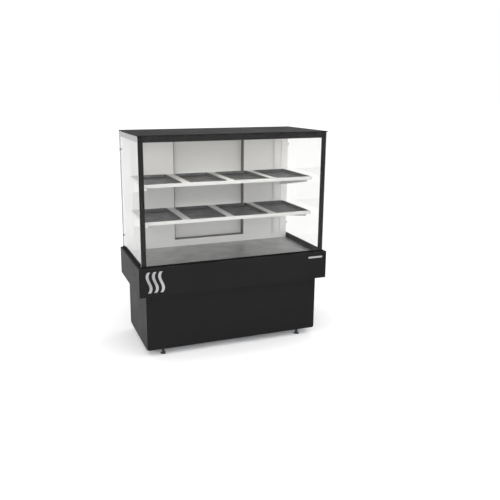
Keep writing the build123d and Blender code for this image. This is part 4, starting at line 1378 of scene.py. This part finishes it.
@dataclass
class GlassBox:
    """The panes with their ground edges, the channels they stand in and their bolts."""

    panes: tuple[tuple[str, int], ...] = (("front_glass", 1), ("side_glasses", 0))
    thickness: float = 0.006
    trim_start: float = 0.015
    head: float = 0.006
    head_height: float = 0.004
    shank: float = 0.003
    collar: float = 0.007
    collar_edge: float = 0.0006

    def build(self) -> None:
        """Dresses the panes' edges and the channels, softens the channels and makes the bolts."""
        for name, axis in self.panes:
            self.grind_edges(name, axis)
        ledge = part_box("ledge_frame")[1].z
        paint = PALETTE.repaint
        # Painted highlight: the right channel's faces turned to the left get the lighter black, for the light that
        # falls on them.
        paint("glass_gaskets", PALETTE.black_painted_highlight, lambda middle, normal: middle.x > 0 and normal.x < -0.5)
        # The channels above the bottom ones get the light grey, which is partly a painted sheen of their glancing
        # reflection.
        paint("glass_gaskets", PALETTE.edge_trim_painted_sheen, lambda middle, _: middle.z > ledge + self.trim_start)
        soften(("glass_gaskets",), width=0.0007)
        self.bolts()

    @staticmethod
    def grind_edges(name: str, axis: int) -> None:
        """Gives the narrow faces of a pane the look of a ground edge.

        Args:
            name: The pane's CAD node.
            axis: The number of the axis across its thickness.
        """
        PALETTE.repaint(name, PALETTE.glass_edge, lambda _, normal: abs(normal[axis]) < 0.5)

    def bolts(self) -> None:
        """Makes the button-headed bolts and collars that hold the side panes."""
        mesh = Mesh()
        low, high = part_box("glass_bolts")
        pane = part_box("side_glasses")[1].x
        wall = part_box("rear_wall_panels")[1].x
        inside = pane - self.thickness - wall
        bore = self.shank + 0.0001
        ring = [
            (bore, 0.0),
            (self.collar, 0.0),
            (self.collar, inside - self.collar_edge),
            (self.collar - self.collar_edge, inside),
            (bore, inside),
        ]
        y = (low.y + high.y) / 2
        for z in (low.z + self.collar, high.z - self.collar):
            for side, axis in ((1, Axis.RIGHT), (-1, Axis.LEFT)):
                seat = axis.frame((side * pane, y, z))
                hex_screw(mesh, seat, self.head, self.head_height, self.shank, pane - wall)
                mesh.turn(ring, axis.frame((side * wall, y, z)), 36, ring=True)
        finishes = (PALETTE.dark_screw,)
        mesh.piece("glass_bolt_heads", Body.CABINET, Slot.BLACK_PAINT, finishes, ("glass_bolts",))


@dataclass
class Roof:
    """The roof pan, its rails, and the light behind the front rail."""

    cap: float = 0.0016
    overlap: float = 0.0005
    corner: float = 0.004
    screw_inset: float = 0.008
    screw_length: float = 0.004

    def build(self) -> None:
        """Softens the sheets and closes the ends of the light's housing."""
        soften(("roof_panel",), width=0.0009, steps=3)
        soften(("roof_frame", "light_housing"), width=0.0006)
        soften(("light_diffuser",), width=0.0005)
        self.end_caps()

    def end_caps(self) -> None:
        """Makes the moulded cap at each end of the light, with its two screws."""
        low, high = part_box("light_housing")
        mesh = Mesh()
        for side, axis in ((low.x, Axis.LEFT), (high.x, Axis.RIGHT)):
            outer = side + math.copysign(self.cap, side)
            near, far = sorted((side, outer))
            corner = (near, low.y - self.overlap, low.z - self.overlap)
            across = (far, high.y + self.overlap, high.z - 0.0002)
            mesh.slab(corner, across, self.corner, axis=0)
            for y in (low.y + self.screw_inset, high.y - self.screw_inset):
                seat = axis.frame((outer, y, (low.z + high.z) / 2))
                hex_screw(mesh, seat, 0.0028, 0.0012, 0.0012, self.screw_length)
        mesh.piece("light_end_caps", Body.CABINET, Slot.WHITE_PAINT)


@dataclass
class RearWall:
    """The insulated wall and the liner of its opening, whose dark tone is partly painted shade of the opening's
    reveal.
    """

    sheets: tuple[str, ...] = ("rear_wall_panels", "rear_wall_covers", "rear_cross_members")
    wall: float = 0.0010
    lip: float = 0.0030
    gap: float = 0.0003

    def build(self) -> None:
        """Paints the cross members' outer faces black, softens the sheets and makes the liner."""
        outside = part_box("rear_cross_members")[1].y - 0.0005
        PALETTE.repaint("rear_cross_members", PALETTE.black, lambda middle, _: middle.y > outside)
        soften(self.sheets, width=0.0006)
        self.painted_shade_liner()

    def painted_shade_liner(self) -> None:
        """Makes the moulded liner, with a small lip over the wall's inner face; its dark finish is partly painted
        shade of the reveal.
        """
        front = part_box("rear_wall_panels")[0].y
        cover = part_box("rear_wall_covers")[1].y
        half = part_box("rear_cross_members")[1].x
        bottom, top = self.opening_heights()
        profile = [
            (-self.lip, front),
            (-self.lip, front - self.wall * 0.6),
            (-self.lip * 0.7, front - self.wall),
            (self.wall * 0.5, front - self.wall),
            (self.wall, front - self.wall * 0.5),
            (self.wall, cover - self.gap),
            (0.0001, cover - self.gap),
            (0.0001, front),
        ]
        mesh = Mesh()
        frame_sweep(mesh, (-half, bottom), (half, top), profile)
        # The liner's dark finish is partly painted shade of the reveal.
        mesh.piece("opening_liner", Body.CABINET, Slot.PLASTIC, (PALETTE.painted_shade_liner,))

    @staticmethod
    def opening_heights() -> tuple[float, float]:
        """Reads the opening's heights from the cross members' inner faces.

        Returns:
            The heights of its sill and of its head.
        """
        levels = sorted({round(v.co.z, 5) for v in FRAME["nodes"]["rear_cross_members"].data.vertices})
        middle = (levels[0] + levels[-1]) / 2
        sill = max(level for level in levels if level < middle)
        head = min(level for level in levels if level > middle)
        return sill, head


@dataclass
class ShelfSet:
    """The two shelves, their brackets and the slotted uprights."""

    def build(self) -> None:
        """Softens the folded sheets."""
        soften(("shelf_lower", "shelf_upper"), width=0.0010, steps=3)
        soften(("shelf_brackets",), width=0.0008)
        soften(("uprights",), width=0.0005)


@dataclass
class Tray:
    """One lift-out tray with a rolled rim, drafted walls and rounded corners."""

    node: str
    corner: float = 0.014
    steps: int = 6

    def build(self) -> None:
        """Makes the tray in place of its CAD node."""
        low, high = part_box(self.node)
        width, depth = high.x - low.x, high.y - low.y
        middle = (low + high) / 2
        floor = low.z - high.z
        profile = [
            (0.0300, floor),
            (0.0150, floor),
            (0.0118, floor + 0.0006),
            (0.0096, floor + 0.0022),
            (0.0082, floor + 0.0050),
            (0.0052, -0.0034),
            (0.0044, -0.0026),
            (0.0018, -0.0026),
            (0.0008, -0.0032),
            (0.0002, -0.0026),
            (0.0000, -0.0013),
            (0.0006, -0.0003),
            (0.0016, 0.0000),
            (0.0040, -0.0001),
            (0.0058, -0.0012),
            (0.0064, -0.0030),
            (0.0092, floor + 0.0056),
            (0.0106, floor + 0.0034),
            (0.0126, floor + 0.0019),
            (0.0158, floor + 0.0012),
            (0.0300, floor + 0.0012),
        ]
        mesh = Mesh()
        loops = []
        for inset, height in profile:
            radius = max(self.corner - inset * 0.55, 0.004)
            outline = rounded_rectangle(width - 2 * inset, depth - 2 * inset, radius, self.steps)
            loops.append([Vector((middle.x + x, middle.y + y, high.z + height)) for x, y in outline])
        mesh.loft(loops)
        name = self.node + "_enamelled"
        mesh.piece(name, Body(self.node), Slot.ENAMEL, stands_for=(self.node,), crease=50)


@dataclass
class ServiceDoor:
    """The hinged rear door: leaf, skin, bellows seal, grip and hinges."""

    grip: float = 0.007
    post: float = 0.006
    post_foot: float = 0.0105
    post_inset: float = 0.022
    seal: float = 0.011
    leaf_length: float = 0.0668
    leaf_sheet: float = 0.003
    leaf_screw_inset: float = 0.011
    leaf_screw_from_edge: float = 0.0085
    pin_head: float = 0.0056

    def build(self) -> None:
        """Paints the leaf's rim black, softens it, and makes the seal, the grip and the hinges' details."""
        PALETTE.repaint("door_leaf", PALETTE.black, lambda _, normal: abs(normal.y) < 0.5)
        soften(("door_leaf", "door_outer_skin"), width=0.0008)
        soften(("hinge_wall_halves", "hinge_door_halves"), width=0.0005)
        self.bellows()
        self.handle()
        self.hinge_screws()
        self.pins()

    def bellows(self) -> None:
        """Makes the seal: a flat foot with two round ridges, mitred at the corners."""
        low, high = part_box("door_seal")
        depth = high.y - low.y
        steps, foot, valley = 6, 0.25, 0.35
        profile = [(0.0, high.y), (0.0, high.y - depth * foot)]
        for ridge in range(2):
            start = self.seal * ridge / 2
            for step in range(steps + 1):
                angle = math.pi * step / steps
                across = start + self.seal / 4 * (1 - math.cos(angle))
                rise = valley + (1 - valley) * math.sin(angle) ** 0.7
                profile.append((across, high.y - depth * rise))
        profile += [(self.seal, high.y - depth * foot), (self.seal, high.y)]
        mesh = Mesh()
        frame_sweep(mesh, (low.x, low.z), (high.x, high.z), profile)
        mesh.piece("door_seal_bellows", Body.DOOR, Slot.RUBBER, stands_for=("door_seal",), crease=60)

    def handle(self) -> None:
        """Makes the grip with domed ends, on two posts that flare at the door."""
        low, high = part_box("door_handle")
        x = (low.x + high.x) / 2
        y = high.y - self.grip
        mesh = Mesh()
        length = high.z - low.z
        steps = 5
        profile = []
        for step in range(steps + 1):
            angle = math.pi / 2 * step / steps
            height = self.grip * (1 - math.cos(angle)) * 0.6
            profile.append((max(self.grip * math.sin(angle), 0.0006), height))
        profile += [(radius, length - height) for radius, height in reversed(profile)]
        mesh.turn(profile, Axis.UP.frame((x, y, low.z)), 40)
        for z in (low.z + self.post_inset, high.z - self.post_inset):
            flare = [(self.post_foot, 0.0), (self.post_foot, 0.0012)]
            for step in range(1, steps + 1):
                share = step / steps
                flare.append((self.post + 0.004 * (1 - share) ** 2, 0.0016 + 0.006 * share))
            flare.append((self.post - 0.0004, y - low.y))
            mesh.turn(flare, Axis.BACK.frame((x, low.y, z)), 40)
        mesh.piece("door_grip", Body.DOOR, Slot.BRIGHT, stands_for=("door_handle",))

    def hinge_screws(self) -> None:
        """Makes two screws in each hinge's wall plate."""
        low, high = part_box("hinge_wall_halves")
        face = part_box("rear_wall_covers")[1].y + self.leaf_sheet
        x = low.x + self.leaf_screw_from_edge
        mesh = Mesh()
        half = self.leaf_length / 2
        reach = half - self.leaf_screw_inset
        for z in (low.z + half, high.z - half):
            for offset in (-reach, reach):
                hex_screw(mesh, Axis.BACK.frame((x, face, z + offset)), 0.0035, 0.0016, 0.0018, 0.0028)
        mesh.piece("hinge_plate_screws", Body.CABINET, Slot.BRIGHT)

    def pins(self) -> None:
        """Makes the hinge pins with a domed head at each end."""
        low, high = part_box("hinge_pins")
        x, y = (low.x + high.x) / 2, (low.y + high.y) / 2
        mesh = Mesh()
        radius = (high.x - low.x) / 2
        wall_low, wall_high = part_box("hinge_wall_halves")
        length = wall_high.z - wall_low.z
        foot = [(0.0020, -0.0030), (0.0046, -0.0024), (self.pin_head, -0.0004), (self.pin_head, 0.0)]
        foot.append((radius, 0.0))
        profile = foot + [(ring, self.leaf_length - level) for ring, level in reversed(foot)]
        for bottom in (low.z, low.z + length - self.leaf_length):
            mesh.turn(profile, Axis.UP.frame((x, y, bottom)), 32)
        mesh.piece("hinge_pin_heads", Body.CABINET, Slot.BRIGHT, stands_for=("hinge_pins",))


@dataclass
class Controls:
    """The staff's panel: thermostat knob and scale, two rockers, thermometer and cable gland."""

    knob: float = 0.020
    grip: float = 0.0168
    shaft: float = 0.003
    pointer: float = 0.0025
    pointer_rise: float = 0.003
    knob_height: float = 0.018
    flutes: int = 22
    span: float = 270.0
    rocker_tilt: float = 8.0
    rocker_half: float = 0.0105
    rocker_face: float = 0.0032
    rocker_dish: float = 0.0012
    dial: float = 0.018
    recess: float = 0.0015
    figures: float = 0.0112
    gland: float = 0.009
    cable_bore: float = 0.0045

    def build(self) -> None:
        """Softens the CAD nodes and makes every detail."""
        soften(("control_panel",), width=0.0007, steps=3)
        soften(("switch_frames", "power_rocker", "light_rocker"), width=0.0005, steps=3)
        soften(("thermostat_body", "thermometer"), width=0.0005)
        self.thermostat_knob()
        self.thermostat_scale()
        self.rocker_marks(Body.POWER, "power_switch")
        self.rocker_marks(Body.LIGHT, "light_switch")
        self.thermometer_dial()
        self.cable_gland()

    @staticmethod
    def pivot(joint: str) -> Vector:
        """Gives a joint's place."""
        return Vector(next(each["pos_m"] for each in FRAME["joints"] if each["name"] == joint))

    def thermostat_knob(self) -> None:
        """Makes the fluted knob with its raised pointer and printed line."""
        low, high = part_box("thermostat_knob")
        pivot = self.pivot("thermostat_turn")
        top = high.y - self.pointer_rise
        seat = Axis.BACK.frame((pivot.x, top - self.knob_height, pivot.z))
        mesh = Mesh()
        tail = low.y - top + self.knob_height
        skirt = [(self.shaft, tail), (self.shaft, 0.0), (self.knob - 0.0006, 0.0)]
        skirt += [(self.knob, 0.0008), (self.knob, 0.0024), (self.knob - 0.0008, 0.0032), (self.grip, 0.0034)]
        mesh.turn(skirt, seat, 72)
        edge, steps = 0.0018, 4
        shoulder = self.knob_height - edge
        fluted = [(self.grip, 0.0030), (self.grip, 0.0040), (self.grip - 0.0004, shoulder)]
        for step in range(steps + 1):
            angle = math.pi / 2 * step / steps
            reach = self.grip - 0.0022 + edge * math.cos(angle)
            fluted.append((reach, shoulder + edge * math.sin(angle)))
        fluted.append((0.0008, self.knob_height))
        mesh.turn(fluted, seat, self.flutes * 8, shape=self.flute)
        pointer_low = (pivot.x - self.pointer, top - 0.0006, pivot.z - 0.014)
        pointer_high = (pivot.x + self.pointer, high.y, pivot.z + 0.017)
        mesh.slab(pointer_low, pointer_high, self.pointer - 0.0001, axis=1)
        line = Axis.BACK.frame((pivot.x, high.y, pivot.z))
        mesh.bar(line, 0.0, (0.004, 0.0158), 0.0012, ink=1)
        finishes = (PALETTE.finishes[Slot.KNOB], PALETTE.ink)
        mesh.piece("thermostat_knob_fluted", Body.KNOB, Slot.KNOB, finishes, ("thermostat_knob",))

    def flute(self, angle: float) -> float:
        """Gives the grip's reach at an angle: round ribs with narrow valleys between them."""
        return 1.0 - 0.055 * (1 - abs(math.sin(angle * self.flutes / 2))) ** 2

    def thermostat_scale(self) -> None:
        """Makes the printed scale round the knob, from off to its highest setting."""
        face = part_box("control_panel")[1].y
        pivot = self.pivot("thermostat_turn")
        centre = Axis.BACK.frame((pivot.x, face, pivot.z))
        mesh = Mesh()
        for index in range(13):
            long = index % 4 == 0
            span = (self.knob + 0.0022, self.knob + (0.0062 if long else 0.0044))
            mesh.bar(centre, self.span * index / 12, span, 0.0009 if long else 0.0006)
        for index, text in enumerate(("0", "30", "60", "90")):
            turn = math.radians(self.span * index / 3)
            place = Matrix.Translation((0.0310 * math.sin(turn), 0.0300 * math.cos(turn), 0.0))
            mesh.figures(text, centre @ place, 0.0062)
        mesh.piece("thermostat_scale", Body.CABINET, Slot.DIAL, (PALETTE.ink,))

    def rocker_marks(self, body: Body, joint: str) -> None:
        """Makes the bar and the ring that mark a rocker's two ends.

        Args:
            body: The rocker's body.
            joint: The rocker's joint.
        """
        tilt = Matrix.Rotation(math.radians(self.rocker_tilt), 4, "X")
        rocker = Matrix.Translation(self.pivot(joint)) @ tilt
        slope = math.atan2(self.rocker_face - self.rocker_dish, self.rocker_half)
        mesh = Mesh()
        for end in (1, -1):
            middle = (0.0, (self.rocker_face + self.rocker_dish) / 2, end * self.rocker_half / 2)
            lean = Matrix.Rotation(-end * slope, 4, "X")
            face = rocker @ Matrix.Translation(middle) @ lean @ Axis.BACK.frame((0, 0, 0))
            if end == 1:
                mesh.bar(face, 0.0, (-0.0020, 0.0020), 0.0007)
            else:
                ring = [(0.0014, -0.0001), (0.0021, -0.0001), (0.0021, 0.00015), (0.0014, 0.00015)]
                mesh.turn(ring, face, 32, ring=True)
        mesh.piece(body.value + "_marks", body, Slot.DIAL, (PALETTE.ink,))

    def thermometer_dial(self) -> None:
        """Makes the thermometer's dial, figures, needle and domed window."""
        low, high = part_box("thermometer")
        x, z = (low.x + high.x) / 2, (low.z + high.z) / 2
        face = Axis.BACK.frame((x, high.y - self.recess, z))
        start = -self.span / 2
        mesh = Mesh()
        rim = self.dial - 0.0002
        mesh.turn([(rim, 0.0), (rim, 0.0002), (0.0005, 0.00025)], face, 64)
        marks = face @ Matrix.Translation((0, 0, 0.0003))
        for index in range(25):
            long = index % 4 == 0
            turn = start + self.span * index / 24
            mesh.bar(marks, turn, (0.0138 if long else 0.0148, 0.0164), 0.0005 if long else 0.0003, ink=1)
        for index in range(7):
            turn = math.radians(start + self.span * index / 6)
            place = Matrix.Translation((self.figures * math.sin(turn), self.figures * math.cos(turn), 0.0))
            mesh.figures(str(20 * index), marks @ place, 0.0030, ink=1)
        needle = face @ Matrix.Translation((0, 0, 0.0007))
        mesh.bar(needle, -90.0, (-0.004, 0.0125), 0.0007, ink=2)
        mesh.turn([(0.0016, 0.0), (0.0016, 0.0008), (0.0012, 0.0011), (0.0004, 0.0012)], face, 24, ink=1)
        finishes = (PALETTE.dial_face, PALETTE.dark_ink, PALETTE.red_ink)
        mesh.piece("thermometer_dial", Body.CABINET, Slot.DIAL, finishes)
        window = Mesh()
        edge, steps, bulge = self.dial - 0.0001, 6, 0.0009
        dome = [(edge, 0.0012), (edge, 0.0016)]
        dome += [(edge * (1 - step / steps), 0.0016 + bulge * step / steps) for step in range(1, steps)]
        dome.append((0.0004, 0.0026))
        window.turn(dome, face, 64)
        window.piece("thermometer_window", Body.CABINET, Slot.GLASS)

    def cable_gland(self) -> None:
        """Makes the gland: threaded tail, hexagon, ribbed dome nut and its open bore."""
        low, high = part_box("cable_gland")
        x, z = (low.x + high.x) / 2, (low.z + high.z) / 2
        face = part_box("rear_fascia")[1].y
        seat = Axis.BACK.frame((x, face, z))
        back, front = low.y - face, high.y - face
        bore, pitch = self.cable_bore, 0.0010
        crest, root = self.gland - 0.0001, self.gland - 0.0008
        mesh = Mesh()
        tail = [(bore, back), (root, back)]
        level = back
        while level < -0.004:
            tail += [(crest, level + pitch / 2), (root, level + pitch)]
            level += pitch
        tail += [(crest, -0.002), (crest, 0.006), (bore, 0.006)]
        mesh.turn(tail, seat, 48, ring=True)
        hex_nut(mesh, seat, (self.gland - 0.0002, (high.x - low.x) / 2), (0.0, 0.006))
        shoulder, mouth, steps = front - 0.0060, 0.0062, 5
        dome = [(bore, 0.0055), (self.gland - 0.0002, 0.0055), (self.gland, 0.0068), (self.gland, shoulder)]
        for step in range(1, steps + 1):
            angle = math.pi / 2 * step / steps
            reach = mouth + (self.gland - mouth) * math.cos(angle)
            dome.append((reach, shoulder + 0.0052 * math.sin(angle)))
        dome += [(0.0058, front - 0.0002), (bore + 0.0002, front), (bore, front - 0.0006)]
        mesh.turn(dome, seat, 96, shape=self.rib, ring=True)
        finishes = (PALETTE.finishes[Slot.PLASTIC],)
        mesh.piece("cable_gland_ribbed", Body.CABINET, Slot.PLASTIC, finishes, ("cable_gland",))

    @staticmethod
    def rib(angle: float) -> float:
        """Gives the dome nut's reach at an angle, for its sixteen ribs."""
        return 1.0 + 0.012 * math.cos(16 * angle)


# ---- light, floor and camera ---------------------------------------------------------
@dataclass(frozen=True)
class SoftBox:
    """One large soft light."""

    name: str
    place: Colour
    target: Colour
    size: tuple[float, float]
    power: float

    def build(self) -> None:
        """Hangs the light."""
        data = bpy.data.lights.new(self.name, "AREA")
        data.shape = "RECTANGLE"
        data.size, data.size_y = self.size
        data.energy = self.power
        lamp = bpy.data.objects.new(self.name, data)
        lamp.location = self.place
        aim = Vector(self.target) - Vector(self.place)
        lamp.rotation_euler = aim.to_track_quat("-Z", "Y").to_euler()
        bpy.context.scene.collection.objects.link(lamp)


@dataclass
class Studio:
    """A white room: pale floor, sky that is brighter to the sides, and soft boxes."""

    floor_half: float = 90.0
    floor_colour: Colour = (0.94, 0.94, 0.94)
    sky: float = 0.8
    left: float = 0.2
    right: float = 0.2
    back: float = -0.7
    top: float = 0.7
    boxes: tuple[SoftBox, ...] = (
        SoftBox("front_top", (-0.4, -4.2, 4.4), (0.0, -0.4, 0.4), (3.6, 2.4), 45.0),
        SoftBox("front_low", (-2.4, -5.2, 2.3), (0.0, 0.0, 1.0), (2.6, 2.0), 80.0),
    )

    def build(self) -> None:
        """Sets the view transform and makes the floor, the sky and the lights."""
        scene = bpy.context.scene
        scene.view_settings.view_transform = "Standard"
        scene.view_settings.look = "None"
        self.floor()
        self.heavens()
        for box in self.boxes:
            box.build()

    def floor(self) -> None:
        """Makes the floor, a wide round disc under the feet."""
        mesh = bmesh.new()
        ring = circle(Matrix.Identity(4), self.floor_half, 0.0, 96)
        mesh.faces.new([mesh.verts.new(point) for point in ring])
        data = bpy.data.meshes.new("studio_floor")
        mesh.to_mesh(data)
        mesh.free()
        made = bpy.data.objects.new("studio_floor", data)
        bpy.context.scene.collection.objects.link(made)
        material = bpy.data.materials.new("floor_paint")
        material.use_nodes = True
        material.node_tree.nodes.clear()
        graph = Graph(material.node_tree)
        shader = graph.node("ShaderNodeBsdfDiffuse", {"Color": rgba(self.floor_colour)})
        graph.node("ShaderNodeOutputMaterial", {"Surface": shader.outputs[0]})
        data.materials.append(material)

    def heavens(self) -> None:
        """Makes the sky: plain white where it is seen, and uneven where it lights things."""
        world = bpy.data.worlds.new("white_room")
        bpy.context.scene.world = world
        world.use_nodes = True
        world.node_tree.nodes.clear()
        graph = Graph(world.node_tree)
        way = graph.node("ShaderNodeTexCoord").outputs["Generated"]
        x, y, z = graph.node("ShaderNodeSeparateXYZ", {0: way}).outputs
        total: Any = self.sky
        sides = ((x, -1, self.left), (x, 1, self.right), (y, 1, self.back), (z, 1, self.top))
        for axis, end, share in sides:
            total = graph.math("MULTIPLY_ADD", graph.spread(axis, 0, end), share, total)
        lit = graph.node("ShaderNodeBackground", {"Color": rgba((1, 1, 1)), "Strength": total})
        seen = graph.node("ShaderNodeBackground", {"Color": rgba((1, 1, 1)), "Strength": 1.0})
        camera = graph.node("ShaderNodeLightPath").outputs["Is Camera Ray"]
        both = graph.node("ShaderNodeMixShader", {0: camera, 1: lit.outputs[0], 2: seen.outputs[0]})
        graph.node("ShaderNodeOutputWorld", {"Surface": both.outputs[0]})


@dataclass
class Viewpoint:
    """The camera, a little to the left of the case and above it."""

    across: float = -1.307
    ahead: float = 3.321
    height: float = 1.607
    turn: float = -19.97
    drop: float = 12.96
    lens: float = 42.85
    sensor: float = 36.0
    shift: tuple[float, float] = (0.0546, -0.0417)

    def build(self) -> None:
        """Makes the camera and gives it to the scene."""
        data = bpy.data.cameras.new("viewpoint")
        data.sensor_width = self.sensor
        data.lens = self.lens
        data.shift_x, data.shift_y = self.shift
        data.clip_end = 100.0
        camera = bpy.data.objects.new("viewpoint", data)
        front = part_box("front_fascia")[0].y
        camera.location = (self.across, front - self.ahead, self.height)
        camera.rotation_euler = (math.radians(90 - self.drop), 0.0, math.radians(self.turn))
        bpy.context.scene.collection.objects.link(camera)
        bpy.context.scene.camera = camera


def main() -> None:
    """Builds the camera and the room, dresses the frame, and adds each sub-assembly's details."""
    logging.basicConfig(level=logging.INFO, format="%(name)s: %(message)s")
    Viewpoint().build()
    Studio().build()
    PALETTE.dress_frame()
    Plinth().build()
    for end in ("front", "rear"):
        for side in ("left", "right"):
            LevellingFoot(f"foot_{end}_{side}").build()
    FasciaBox().build()
    HeatedDeck().build()
    GlassBox().build()
    Roof().build()
    RearWall().build()
    ShelfSet().build()
    for level in ("lower", "upper"):
        for number in range(1, 5):
            Tray(f"tray_{level}_{number}").build()
    ServiceDoor().build()
    Controls().build()


if __name__ == "__main__":
    main()
